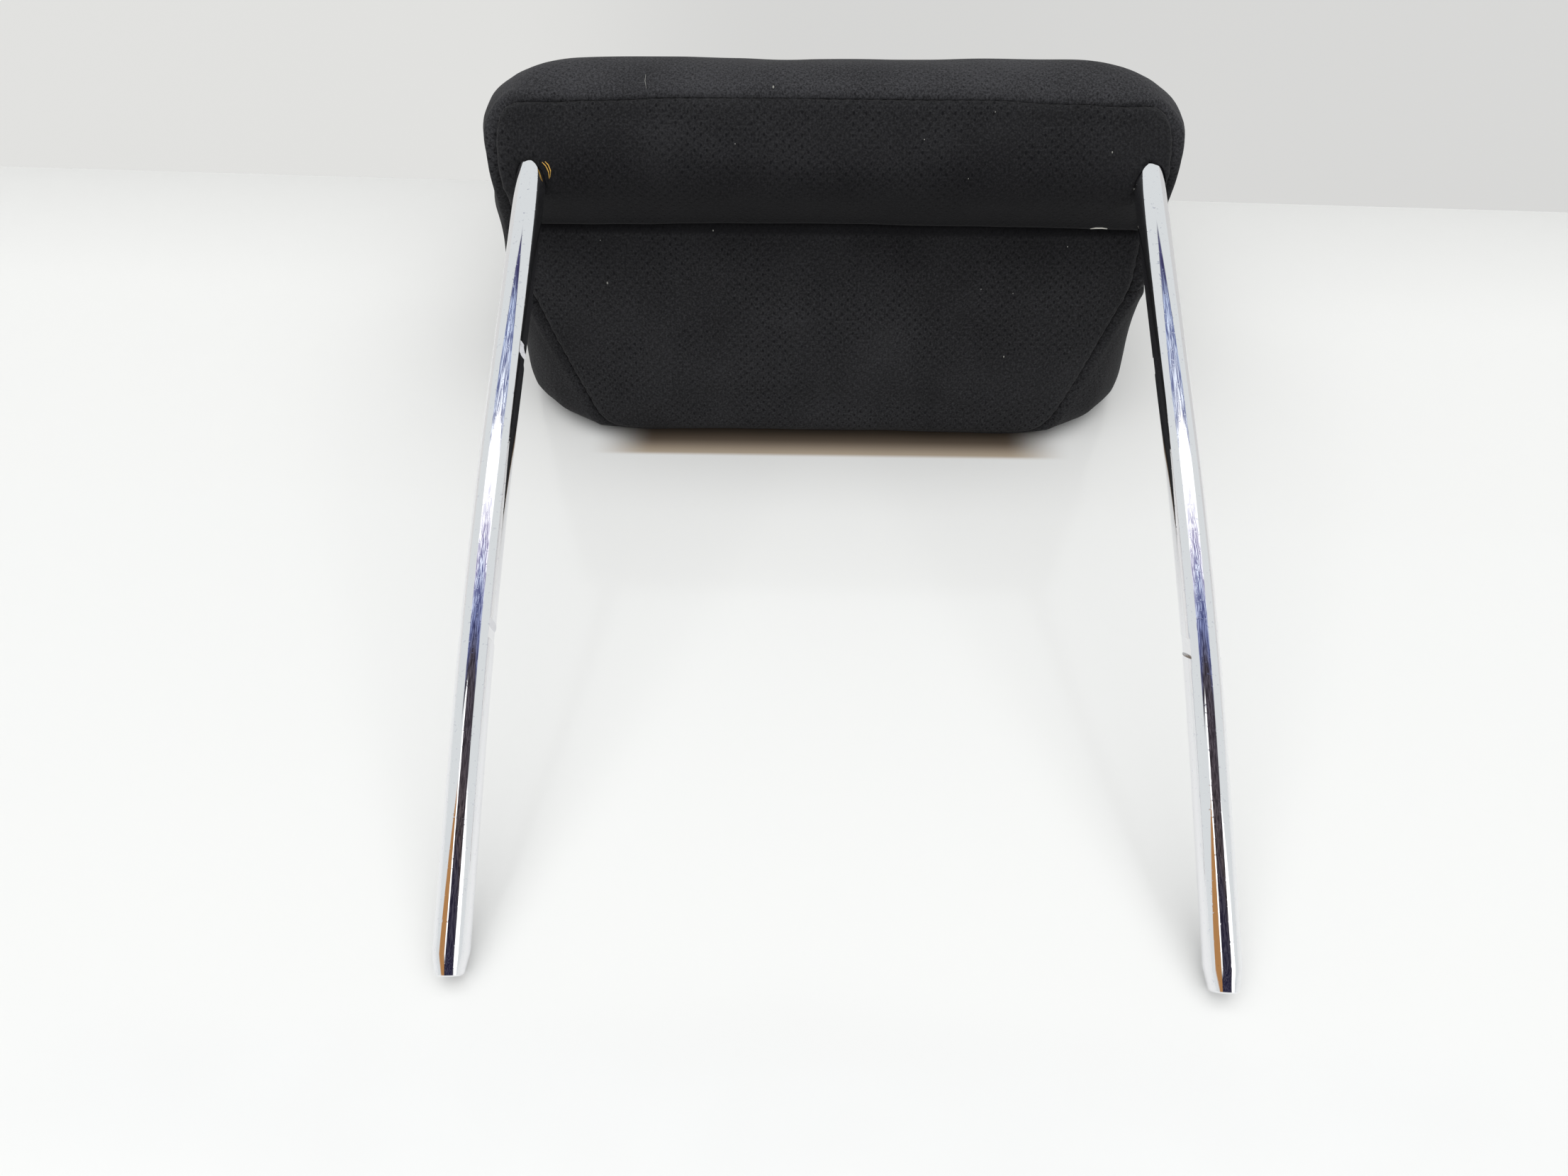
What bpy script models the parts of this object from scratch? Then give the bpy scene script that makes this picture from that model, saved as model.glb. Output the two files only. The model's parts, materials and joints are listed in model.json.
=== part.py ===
# Rear-seat car headrest: a wedge-shaped foam pad in a sewn fabric cover, moulded
# round one bent steel bar whose two legs plug into the top of the seat back.
# It lies on its head face: +Z points up from that face, -Y towards the leg ends.
# Lengths are metres, angles degrees.
import math

import bmesh
import bpy
from mathutils import Matrix, Vector

# Gap that keeps touching pieces apart
FIT_GAP = 0.0003

# Steel bar, measured from the end of a leg
BAR_DIAMETER = 0.010
LEG_SPACING = 0.205
LEG_TO_BEND = 0.110
BEND_TO_EXIT = 0.141
LEG_TILT = 20.2
LEG_BEND = 8.0
LEG_BEND_RADIUS = 0.730
TIP_DIAMETER = 0.0078
TIP_TAPER = 0.006
EXIT_TO_KNEE = 0.018
KNEE_BEND = 50.0
KNEE_RADIUS = 0.025
KNEE_TO_CROSSBAR = 0.077
CROSSBAR_RADIUS = 0.020
BAR_BEVEL_RESOLUTION = 6

# Locking notches in the legs, by their distance from the leg's end
UPPER_NOTCH_AT = 0.181
LOWER_NOTCH_AT = 0.092
NOTCH_LENGTH = 0.005
NOTCH_DEPTH = 0.001
NOTCH_SKEW = 28.0

# Side view of the pad, from the bar's exit: forward is -Y, heights from the head face
TOE_REACH = 0.0205
TOE_RADIUS = 0.009
FOLD_SETBACK = 0.0113
FOLD_HEIGHT = 0.079
FOLD_RADIUS = 0.0015
BELLY_REACH = 0.0042
BELLY_HEIGHT = 0.103
BELLY_RADIUS = 0.014
CROWN_SETBACK = 0.0180
CROWN_HEIGHT = 0.1380
CROWN_RADIUS = 0.016
FAR_END_SETBACK = 0.1583
FAR_END_HEIGHT = 0.060
FAR_END_TOP_RADIUS = 0.026
FAR_END_FACE_RADIUS = 0.018

# Front view of the pad: how far it reaches out past the axes of the legs
FACE_OVERHANG = 0.0180
MIDDLE_OVERHANG = 0.0203
CROWN_OVERHANG = 0.0130
MIDDLE_HEIGHT = 0.070
FACE_EDGE_RADIUS = 0.010
MIDDLE_RADIUS = 0.150
CROWN_EDGE_RADIUS = 0.026

# Corners of the pad's level sections: reach across (X) and reach along (Y)
TOE_CORNER_X = 0.047
TOE_CORNER_Y = 0.056
BASE_CORNER_X = 0.009
BASE_CORNER_Y = 0.014
END_CORNER_X = 0.038
END_CORNER_Y = 0.042
BACK_CORNER_X = 0.022
BACK_CORNER_Y = 0.034
MAX_CORNER_SHARE = 0.45

# Sewn cover, with its seams placed from the axes of the legs
CLOTH = 0.0025
BASE_SEAM_OVERHANG = 0.0105
BASE_SEAM_TOP = 0.1250
BASE_SEAM_RADIUS = 0.017
SEAM_KNEE_HEIGHT = 0.060
SEAM_KNEE_RADIUS = 0.030
LIP_SEAM_INSET = 0.0165
LIP_SEAM_HEIGHT = 0.0040
LIP_SEAM_RADIUS = 0.008
BASE_PANEL_DEPTH = 0.016
SIDE_SEAM_NEAR_HEIGHT = 0.060
SIDE_SEAM_FAR_HEIGHT = 0.034
SEAM_GAP = 0.0003

# Plastic closure strips behind the fold
STRIP_WALL = 0.0012
STRIP_OVERHANG = 0.0015
HOOK_OVERLAP = 0.0022
FLANGE_LENGTH = 0.009
POCKET_MARGIN = 0.0010

# Mesh steps
ARC_STEPS = 5
FRONT_STEPS = 4
SIDE_STEPS = 4
BACK_STEPS = 3
LEVEL_STEP = 0.011
THINNEST_LEVEL = 0.0011
CROWN_CAP = 0.00015
WELD_REACH = 0.0001
SHARP_ANGLE = 30.0

X_AXIS = Vector((1, 0, 0))


def side_vector(angle):
    """Unit vector in the side view, at an angle above the head face."""
    return Vector((0, math.cos(math.radians(angle)), math.sin(math.radians(angle))))


# The leg's axis in the side view, from its end to the exit from the pad
LOWER_DIRECTION = side_vector(LEG_TILT + LEG_BEND)
UPPER_DIRECTION = side_vector(LEG_TILT)
INNER_DIRECTION = side_vector(LEG_TILT - KNEE_BEND)
TIP = Vector((0, 0, TIP_DIAMETER / 2 * LOWER_DIRECTION.y))
BEND = TIP + LEG_TO_BEND * LOWER_DIRECTION
EXIT = BEND + BEND_TO_EXIT * UPPER_DIRECTION
KNEE = EXIT + EXIT_TO_KNEE * UPPER_DIRECTION
CROSSBAR = KNEE + KNEE_TO_CROSSBAR * INNER_DIRECTION

# Pad corners in the side view that other pieces are set against
TOE_Y = EXIT.y - TOE_REACH
FOLD_Y = EXIT.y + FOLD_SETBACK
BELLY_Y = EXIT.y - BELLY_REACH
CROWN_Y = EXIT.y + CROWN_SETBACK
FAR_END_Y = EXIT.y + FAR_END_SETBACK

# Half widths in the front view
LEG_X = LEG_SPACING / 2
FACE_HALF_WIDTH = LEG_X + FACE_OVERHANG
MIDDLE_HALF_WIDTH = LEG_X + MIDDLE_OVERHANG
CROWN_HALF_WIDTH = LEG_X + CROWN_OVERHANG
BASE_SEAM_HALF_WIDTH = LEG_X + BASE_SEAM_OVERHANG
LIP_SEAM_HALF_WIDTH = LEG_X - LIP_SEAM_INSET
STRIP_HALF_LENGTH = LEG_X + STRIP_OVERHANG

# The part's origin is the middle of its outline, on the surface it lies on
FRONT_MOST_Y = TIP.y - TIP_DIAMETER / 2 * LOWER_DIRECTION.z
ORIGIN = Vector((0, (FRONT_MOST_Y + FAR_END_Y) / 2, 0))


def clear_scene():
    for thing in list(bpy.data.objects):
        bpy.data.objects.remove(thing)


def make_collection(name):
    collection = bpy.data.collections.new(name)
    bpy.context.scene.collection.children.link(collection)
    return collection


def make_material(name, color, roughness, metallic):
    material = bpy.data.materials.new(name)
    material.use_nodes = True
    shader = material.node_tree.nodes["Principled BSDF"]
    shader.inputs["Base Color"].default_value = (*color, 1)
    shader.inputs["Roughness"].default_value = roughness
    shader.inputs["Metallic"].default_value = metallic
    return material


def add_object(name, mesh, collection, material=None):
    piece = bpy.data.objects.new(name, mesh)
    collection.objects.link(piece)
    if material:
        mesh.materials.clear()
        mesh.materials.append(material)
    return piece


def add_cutter(name, mesh, cutters):
    cutter = add_object(name, mesh, cutters)
    cutter.hide_render = True
    cutter.display_type = "WIRE"
    return cutter


def add_boolean(piece, cutter, operation):
    modifier = piece.modifiers.new(f"{operation.lower()} {cutter.name}", "BOOLEAN")
    modifier.operation = operation
    modifier.solver = "EXACT"
    modifier.object = cutter


def add_weld(piece):
    """Merge the slivers that a cut leaves where it grazes an edge."""
    weld = piece.modifiers.new("weld", "WELD")
    weld.merge_threshold = WELD_REACH


def mesh_from(name, build):
    """Make a mesh by running build on a fresh bmesh."""
    shape = bmesh.new()
    build(shape)
    bmesh.ops.recalc_face_normals(shape, faces=shape.faces)
    mesh = bpy.data.meshes.new(name)
    shape.to_mesh(mesh)
    shape.free()
    return mesh


def fillet(before, corner, after, radius, steps):
    """Points of the arc that rounds a corner between two straight runs."""
    into = (corner - before).normalized()
    out = (after - corner).normalized()
    turn = into.angle(out)
    if radius == 0 or turn < 1e-6:
        return [corner.copy()]
    start = corner - into * radius * math.tan(turn / 2)
    toward_centre = (out - into * into.dot(out)).normalized()
    centre = start + toward_centre * radius
    points = []
    for step in range(steps + 1):
        angle = turn * step / steps
        points.append(centre - toward_centre * radius * math.cos(angle) + into * radius * math.sin(angle))
    return points


def rounded_loop(corners, steps=ARC_STEPS):
    """Closed outline from (vector, radius) corners."""
    points = []
    for index, (corner, radius) in enumerate(corners):
        before = corners[index - 1][0]
        after = corners[(index + 1) % len(corners)][0]
        points += fillet(before, corner, after, radius, steps)
    return points


def crossings(outline, height, axis):
    """Lowest and highest value along an axis where a closed outline meets a height."""
    found = []
    for start, end in zip(outline, outline[1:] + outline[:1]):
        rise = end.z - start.z
        if abs(rise) > 1e-9 and min(start.z, end.z) - 1e-9 <= height <= max(start.z, end.z) + 1e-9:
            found.append(start[axis] + (end[axis] - start[axis]) * (height - start.z) / rise)
    return min(found), max(found)


def pad_side_outline():
    return rounded_loop([
        (Vector((0, TOE_Y, 0)), TOE_RADIUS),
        (Vector((0, FOLD_Y, FOLD_HEIGHT)), FOLD_RADIUS),
        (Vector((0, BELLY_Y, BELLY_HEIGHT)), BELLY_RADIUS),
        (Vector((0, CROWN_Y, CROWN_HEIGHT)), CROWN_RADIUS),
        (Vector((0, FAR_END_Y, FAR_END_HEIGHT)), FAR_END_TOP_RADIUS),
        (Vector((0, FAR_END_Y, 0)), FAR_END_FACE_RADIUS),
    ])


def pad_front_outline(top):
    half = [
        (Vector((FACE_HALF_WIDTH, 0, 0)), FACE_EDGE_RADIUS),
        (Vector((MIDDLE_HALF_WIDTH, 0, MIDDLE_HEIGHT)), MIDDLE_RADIUS),
        (Vector((CROWN_HALF_WIDTH, 0, top)), CROWN_EDGE_RADIUS),
    ]
    other = [(Vector((-corner.x, 0, corner.z)), radius) for corner, radius in reversed(half)]
    return rounded_loop(half + other)


def pad_levels(side, top):
    """Heights of the level sections: every bend of the outline and steps between them."""
    bends = sorted({round(point.z, 6) for point in side if point.z < top - CROWN_CAP})
    levels = [0.0]
    for height in bends + [top - CROWN_CAP]:
        gap = height - levels[-1]
        if gap < THINNEST_LEVEL and height < top - CROWN_CAP:
            continue
        count = max(1, math.ceil(gap / LEVEL_STEP))
        levels += [levels[-1] + gap * step / count for step in range(1, count + 1)]
    return levels


def blend(low, high, height, start, end):
    share = min(1, max(0, (height - start) / (end - start)))
    return low + (high - low) * share


def level_section(height, side, front):
    """Closed ring of points round the pad at one height, counterclockwise from above."""
    near, far = crossings(side, height, 1)
    half_width = crossings(front, height, 0)[1]
    deepest = (far - near) * MAX_CORNER_SHARE
    near_x = blend(TOE_CORNER_X, BASE_CORNER_X, height, TOE_RADIUS, SEAM_KNEE_HEIGHT)
    near_y = min(deepest, blend(TOE_CORNER_Y, BASE_CORNER_Y, height, TOE_RADIUS, SEAM_KNEE_HEIGHT))
    far_x = blend(END_CORNER_X, BACK_CORNER_X, height, FAR_END_TOP_RADIUS, MIDDLE_HEIGHT)
    far_y = min(deepest, blend(END_CORNER_Y, BACK_CORNER_Y, height, FAR_END_TOP_RADIUS, MIDDLE_HEIGHT))

    half = []
    for step in range(FRONT_STEPS):
        half.append((step / FRONT_STEPS * (half_width - near_x), near))
    for step in range(ARC_STEPS):
        angle = math.pi / 2 * step / ARC_STEPS
        across = half_width - near_x + near_x * math.sin(angle)
        half.append((across, near + near_y - near_y * math.cos(angle)))
    for step in range(SIDE_STEPS):
        half.append((half_width, near + near_y + (far - far_y - near - near_y) * step / SIDE_STEPS))
    for step in range(ARC_STEPS):
        angle = math.pi / 2 * step / ARC_STEPS
        across = half_width - far_x + far_x * math.cos(angle)
        half.append((across, far - far_y + far_y * math.sin(angle)))
    for step in range(BACK_STEPS + 1):
        half.append((max(0, (1 - step / BACK_STEPS) * (half_width - far_x)), far))
    ring = half + [(-x, y) for x, y in reversed(half[1:-1])]
    return [Vector((x, y, height)) - ORIGIN for x, y in ring]


def pad_surface():
    """The outside of the stuffed cover, as one closed loft of level sections."""
    side = pad_side_outline()
    top = max(point.z for point in side)
    front = pad_front_outline(top)

    def build(shape):
        rings = []
        for height in pad_levels(side, top):
            rings.append([shape.verts.new(point) for point in level_section(height, side, front)])
        shape.faces.new(list(reversed(rings[0])))
        shape.faces.new(rings[-1])
        for lower, upper in zip(rings, rings[1:]):
            for index in range(len(lower)):
                after = (index + 1) % len(lower)
                shape.faces.new((lower[index], lower[after], upper[after], upper[index]))

    return mesh_from("pad surface", build)


def add_wall(piece, thickness):
    """Give a closed surface an even wall on its inside."""
    wall = piece.modifiers.new("wall", "SOLIDIFY")
    wall.thickness = thickness
    wall.offset = -1
    wall.use_even_offset = True
    wall.use_quality_normals = True


def inset_surface(surface, depth, cutters):
    """Closed surface that lies an even depth inside another."""
    source = add_cutter("inset source", surface.copy(), cutters)
    add_wall(source, depth)
    bpy.context.view_layer.update()
    evaluated = source.evaluated_get(bpy.context.evaluated_depsgraph_get())
    walled = bpy.data.meshes.new_from_object(evaluated)
    bpy.data.objects.remove(source)

    def build(shape):
        shape.from_mesh(walled)
        shape.verts.ensure_lookup_table()
        outside = list(shape.verts)[:len(surface.vertices)]
        bmesh.ops.delete(shape, geom=outside, context="VERTS")

    return mesh_from("inset surface", build)


def bar_path():
    """Axis of the bent bar from one leg's end to the other, with a radius factor at each point."""
    left = -LEG_X * X_AXIS
    corners = [
        (TIP + left, 0),
        (BEND + left, LEG_BEND_RADIUS),
        (KNEE + left, KNEE_RADIUS),
        (CROSSBAR + left, CROSSBAR_RADIUS),
    ]
    corners += [(Vector((-corner.x, corner.y, corner.z)), radius) for corner, radius in reversed(corners)]
    points = [corners[0][0], corners[0][0] + TIP_TAPER * LOWER_DIRECTION]
    for index in range(1, len(corners) - 1):
        before, after = corners[index - 1][0], corners[index + 1][0]
        points += fillet(before, corners[index][0], after, corners[index][1], ARC_STEPS)
    points += [corners[-1][0] + TIP_TAPER * LOWER_DIRECTION, corners[-1][0]]
    tip_factor = TIP_DIAMETER / BAR_DIAMETER
    factors = [tip_factor] + [1] * (len(points) - 2) + [tip_factor]
    return points, factors


def mesh_of_curve(name, curve, place):
    """Closed mesh of a curve at its place, with its loose caps welded on."""
    holder = bpy.data.objects.new(name, curve)
    holder.matrix_world = place
    bpy.context.scene.collection.objects.link(holder)
    bpy.context.view_layer.update()
    evaluated = holder.evaluated_get(bpy.context.evaluated_depsgraph_get())
    mesh = bpy.data.meshes.new_from_object(evaluated)
    mesh.transform(holder.matrix_world)
    bpy.data.objects.remove(holder)

    def build(shape):
        shape.from_mesh(mesh)
        bmesh.ops.remove_doubles(shape, verts=shape.verts, dist=WELD_REACH / 10)

    return mesh_from(name, build)


def extruded_outline(name, outline, length, place):
    """Flat closed outline given a thickness, half to either side of its plane."""
    curve = bpy.data.curves.new(name, "CURVE")
    curve.dimensions = "2D"
    curve.fill_mode = "BOTH"
    curve.extrude = length / 2
    spline = curve.splines.new("POLY")
    spline.points.add(len(outline) - 1)
    for point, (across, up) in zip(spline.points, outline):
        point.co = (across, up, 0, 1)
    spline.use_cyclic_u = True
    return mesh_of_curve(name, curve, place)


def bar_mesh(name, radius, tapered):
    """Round bar along the bent path, as a closed mesh."""
    points, factors = bar_path()
    curve = bpy.data.curves.new(name, "CURVE")
    curve.dimensions = "3D"
    curve.bevel_depth = radius
    curve.bevel_resolution = BAR_BEVEL_RESOLUTION
    curve.use_fill_caps = True
    spline = curve.splines.new("POLY")
    spline.points.add(len(points) - 1)
    for index, point in enumerate(points):
        spline.points[index].co = (*(point - ORIGIN), 1)
        spline.points[index].radius = factors[index] if tapered else 1
    return mesh_of_curve(name, curve, Matrix())


def leg_place(distance):
    """Point and direction of a leg's axis at a distance from its end, in the side view."""
    arc_half = LEG_BEND_RADIUS * math.tan(math.radians(LEG_BEND) / 2)
    start = LEG_TO_BEND - arc_half
    length = LEG_BEND_RADIUS * math.radians(LEG_BEND)
    if distance <= start:
        return TIP + distance * LOWER_DIRECTION, LEG_TILT + LEG_BEND
    if distance >= start + length:
        return BEND + (distance - start - length + arc_half) * UPPER_DIRECTION, LEG_TILT
    turned = math.degrees((distance - start) / LEG_BEND_RADIUS)
    chord = 2 * LEG_BEND_RADIUS * math.sin(math.radians(turned) / 2)
    first = TIP + start * LOWER_DIRECTION
    return first + chord * side_vector(LEG_TILT + LEG_BEND - turned / 2), LEG_TILT + LEG_BEND - turned


def notch_cutter(distance, leg_side, face_side, cutters):
    """Slab that mills a skewed flat across one side of a leg."""
    point, angle = leg_place(distance)
    axis = side_vector(angle)
    width = 2 * BAR_DIAMETER
    reach = BAR_DIAMETER / 2 - NOTCH_DEPTH + width / 2
    centre = point + X_AXIS * (leg_side * LEG_X + face_side * reach) - ORIGIN
    frame = Matrix((X_AXIS, axis, X_AXIS.cross(axis))).transposed().to_4x4()
    skew = Matrix.Rotation(math.radians(NOTCH_SKEW * leg_side), 4, "X")
    size = Matrix.Diagonal((width, NOTCH_LENGTH, width, 1))

    def build(shape):
        bmesh.ops.create_cube(shape, size=1, matrix=Matrix.Translation(centre) @ frame @ skew @ size)

    return add_cutter("notch cutter", mesh_from("notch cutter", build), cutters)


def add_bar(parts, cutters, chrome):
    bar = add_object("post_frame", bar_mesh("post frame", BAR_DIAMETER / 2, True), parts, chrome)
    for leg_side in (-1, 1):
        add_boolean(bar, notch_cutter(UPPER_NOTCH_AT, leg_side, -leg_side, cutters), "DIFFERENCE")
        for face_side in (-1, 1):
            add_boolean(bar, notch_cutter(LOWER_NOTCH_AT, leg_side, face_side, cutters), "DIFFERENCE")
    bar.data.shade_smooth()
    bar.data.set_sharp_from_angle(angle=math.radians(SHARP_ANGLE))
    return bar


def prism_cutter(name, outline, near, far, cutters):
    """Straight prism along Y from an outline in the front view."""
    middle = Vector((0, (near + far) / 2, 0)) - ORIGIN
    place = Matrix.Translation(middle) @ Matrix.Rotation(math.radians(90), 4, "X")
    flat = [(point.x, point.z) for point in outline]
    return add_cutter(name, extruded_outline(name, flat, far - near, place), cutters)


def base_seam_outline(growth, lowest=None, highest=None):
    """Seam round the underside in the front view, grown outwards, cut off at two heights."""
    half = [
        (Vector((LIP_SEAM_HALF_WIDTH + growth, 0, LIP_SEAM_HEIGHT - growth)), LIP_SEAM_RADIUS),
        (Vector((BASE_SEAM_HALF_WIDTH + growth, 0, SEAM_KNEE_HEIGHT)), SEAM_KNEE_RADIUS),
        (Vector((BASE_SEAM_HALF_WIDTH + growth, 0, BASE_SEAM_TOP + growth)), BASE_SEAM_RADIUS + growth),
    ]
    other = [(Vector((-corner.x, 0, corner.z)), radius) for corner, radius in reversed(half)]
    outline = rounded_loop(half + other)
    if lowest is not None:
        across = crossings(outline, lowest, 0)[1]
        kept = [point for point in outline if point.z > lowest]
        right = [Vector((-across, 0, lowest)), Vector((across, 0, lowest))]
        start = next(i for i, p in enumerate(kept) if p.x > 0)
        return right + kept[start:] + kept[:start]
    if highest is not None:
        across = crossings(outline, highest, 0)[1]
        kept = [point for point in outline if point.z < highest]
        cut = next(i for i, p in enumerate(kept) if p.x < 0)
        return kept[:cut] + [Vector((across, 0, highest)), Vector((-across, 0, highest))] + kept[cut:]
    return outline


def half_space_cutter(name, above, cutters):
    """Block above or below the sloping plane of the side seam."""
    slope = math.atan2(SIDE_SEAM_FAR_HEIGHT - SIDE_SEAM_NEAR_HEIGHT, FAR_END_Y - FOLD_Y)
    size = 4 * MIDDLE_HALF_WIDTH
    side = 1 if above else -1
    lift = side * (size / 2 + SEAM_GAP / 2)
    anchor = Vector((0, FOLD_Y, SIDE_SEAM_NEAR_HEIGHT)) - ORIGIN
    place = Matrix.Translation(anchor) @ Matrix.Rotation(slope, 4, "X") @ Matrix.Translation((0, 0, lift))

    def build(shape):
        bmesh.ops.create_cube(shape, size=size, matrix=place)

    return add_cutter(name, mesh_from(name, build), cutters)


def leg_hole_cutter(leg_side, cutters):
    """Rod-shaped hole through the cover where a leg comes out."""
    half_length = EXIT_TO_KNEE
    turn = UPPER_DIRECTION.to_track_quat("Z", "Y").to_matrix().to_4x4()
    centre = EXIT + X_AXIS * leg_side * LEG_X - ORIGIN

    def build(shape):
        bmesh.ops.create_cone(
            shape, cap_ends=True, segments=4 * ARC_STEPS, radius1=BAR_DIAMETER / 2 + FIT_GAP,
            radius2=BAR_DIAMETER / 2 + FIT_GAP, depth=2 * half_length,
            matrix=Matrix.Translation(centre) @ turn)

    return add_cutter("leg hole cutter", mesh_from("leg hole cutter", build), cutters)


def add_cover(surface, parts, cutters, cloth):
    """Four sewn panels, cut from one walled surface along the seams."""
    near = TOE_Y - CLOTH
    far = FOLD_Y + BASE_PANEL_DEPTH
    half_gap = SEAM_GAP / 2
    upper = base_seam_outline(-half_gap, lowest=FOLD_HEIGHT + half_gap)
    lower = base_seam_outline(-half_gap, highest=FOLD_HEIGHT - half_gap)
    whole = base_seam_outline(half_gap)
    base_cutter = prism_cutter("base panel outline", upper, near, far, cutters)
    lip_cutter = prism_cutter("lip panel outline", lower, near, far, cutters)
    opening_cutter = prism_cutter("underside outline", whole, near, far, cutters)
    above = half_space_cutter("above the side seam", True, cutters)
    below = half_space_cutter("below the side seam", False, cutters)

    recipes = {
        "cover_base_panel": [(base_cutter, "INTERSECT")]
        + [(leg_hole_cutter(side, cutters), "DIFFERENCE") for side in (-1, 1)],
        "cover_lip_panel": [(lip_cutter, "INTERSECT")],
        "cover_back_panel": [(opening_cutter, "DIFFERENCE"), (above, "INTERSECT")],
        "cover_front_panel": [(opening_cutter, "DIFFERENCE"), (below, "INTERSECT")],
    }
    for name, steps in recipes.items():
        panel = add_object(name, surface.copy(), parts, cloth)
        add_wall(panel, CLOTH)
        for cutter, operation in steps:
            add_boolean(panel, cutter, operation)
        add_weld(panel)


def slope_above_fold():
    return (BELLY_Y - FOLD_Y) / (BELLY_HEIGHT - FOLD_HEIGHT)


def slope_below_fold():
    return (FOLD_Y - TOE_Y) / FOLD_HEIGHT


def strip_profiles():
    """Side views of the two hooked strips, as (depth, height) from behind the fold."""
    wall, gap = STRIP_WALL, FIT_GAP
    first_lip = 2 * wall + 2 * gap
    second_plate = first_lip + wall + gap
    bottom = -HOOK_OVERLAP - wall
    up = slope_above_fold() * FLANGE_LENGTH
    down = slope_below_fold() * FLANGE_LENGTH
    upper = [
        (0, bottom - wall), (first_lip + wall, bottom - wall), (first_lip + wall, -gap),
        (first_lip, -gap), (first_lip, bottom), (wall, bottom), (wall, 2 * wall),
        (wall + up, 2 * wall + FLANGE_LENGTH), (up, 2 * wall + FLANGE_LENGTH), (0, wall),
    ]
    low = bottom - 2 * wall - gap
    lower = [
        (second_plate + wall, wall), (wall + gap, wall), (wall + gap, bottom + gap),
        (first_lip - gap, bottom + gap), (first_lip - gap, 0), (second_plate, 0),
        (second_plate, bottom - wall - gap), (0, bottom - wall - gap),
        (-down, bottom - wall - gap - FLANGE_LENGTH), (wall - down, bottom - wall - gap - FLANGE_LENGTH),
        (wall, low), (second_plate + wall, low),
    ]
    return upper, lower


def strip_origin():
    """Point just behind the cloth at the bottom of the fold."""
    meeting = math.atan(-slope_above_fold()) + math.atan(slope_below_fold())
    return FOLD_Y + CLOTH / math.cos(meeting / 2) + 2 * FIT_GAP


def add_strip(name, profile, parts, plastic):
    """Extruded strip across the pad: the profile's depth runs along Y, its height along Z."""
    corner = Vector((0, strip_origin(), FOLD_HEIGHT)) - ORIGIN
    axes = Matrix(((0, 0, 1), (1, 0, 0), (0, 1, 0))).to_4x4()
    place = Matrix.Translation(corner) @ axes
    return add_object(name, extruded_outline(name, profile, 2 * STRIP_HALF_LENGTH, place), parts, plastic)


def pocket_cutter(profiles, cutters):
    """Pocket in the foam for both closure strips."""
    depths = [depth for profile in profiles for depth, height in profile]
    heights = [height for profile in profiles for depth, height in profile]
    near = strip_origin() + min(depths) - POCKET_MARGIN
    far = strip_origin() + max(depths) + FIT_GAP
    low = FOLD_HEIGHT + min(heights) - FIT_GAP
    high = FOLD_HEIGHT + max(heights) + FIT_GAP
    half = STRIP_HALF_LENGTH + FIT_GAP
    centre = Vector((0, (near + far) / 2, (low + high) / 2)) - ORIGIN
    size = Matrix.Diagonal((2 * half, far - near, high - low, 1))

    def build(shape):
        bmesh.ops.create_cube(shape, size=1, matrix=Matrix.Translation(centre) @ size)

    return add_cutter("closure pocket", mesh_from("closure pocket", build), cutters)


def add_foam(surface, profiles, parts, cutters, foam):
    core = inset_surface(surface, CLOTH + FIT_GAP, cutters)
    piece = add_object("foam_core", core, parts, foam)
    channel = add_cutter("bar channel", bar_mesh("bar channel", BAR_DIAMETER / 2 + FIT_GAP, False), cutters)
    add_boolean(piece, channel, "DIFFERENCE")
    add_boolean(piece, pocket_cutter(profiles, cutters), "DIFFERENCE")
    return piece


def build_headrest():
    clear_scene()
    parts = make_collection("car headrest")
    cutters = make_collection("cutters")
    chrome = make_material("chromed steel", (0.72, 0.72, 0.74), 0.12, 1)
    cloth = make_material("charcoal knit", (0.030, 0.030, 0.034), 0.92, 0)
    foam = make_material("moulded foam", (0.62, 0.42, 0.12), 0.95, 0)
    plastic = make_material("natural plastic", (0.70, 0.69, 0.62), 0.45, 0)

    surface = pad_surface()
    profiles = strip_profiles()
    add_bar(parts, cutters, chrome)
    add_foam(surface, profiles, parts, cutters, foam)
    add_cover(surface, parts, cutters, cloth)
    add_strip("closure_upper_strip", profiles[0], parts, plastic)
    add_strip("closure_lower_strip", profiles[1], parts, plastic)


build_headrest()
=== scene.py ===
import json
import math

import bmesh
import bpy
import numpy as np
from mathutils import Matrix, Vector, noise
from mathutils.bvhtree import BVHTree
from mathutils.kdtree import KDTree


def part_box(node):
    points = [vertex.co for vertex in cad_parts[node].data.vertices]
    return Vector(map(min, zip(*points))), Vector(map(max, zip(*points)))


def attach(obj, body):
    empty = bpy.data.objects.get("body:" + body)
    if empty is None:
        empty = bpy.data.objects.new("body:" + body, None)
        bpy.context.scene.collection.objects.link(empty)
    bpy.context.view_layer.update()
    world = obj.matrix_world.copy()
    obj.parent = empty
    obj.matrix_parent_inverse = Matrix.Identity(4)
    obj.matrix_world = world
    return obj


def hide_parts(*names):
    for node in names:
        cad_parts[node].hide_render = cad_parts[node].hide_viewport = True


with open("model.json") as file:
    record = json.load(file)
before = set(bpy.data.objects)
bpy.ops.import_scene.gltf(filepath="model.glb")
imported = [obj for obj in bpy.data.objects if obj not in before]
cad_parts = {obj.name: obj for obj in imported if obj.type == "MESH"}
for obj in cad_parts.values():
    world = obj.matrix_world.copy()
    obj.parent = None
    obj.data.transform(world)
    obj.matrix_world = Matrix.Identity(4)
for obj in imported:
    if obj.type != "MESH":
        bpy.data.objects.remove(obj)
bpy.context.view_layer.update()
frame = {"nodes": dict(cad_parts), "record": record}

mm = 0.001

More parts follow.
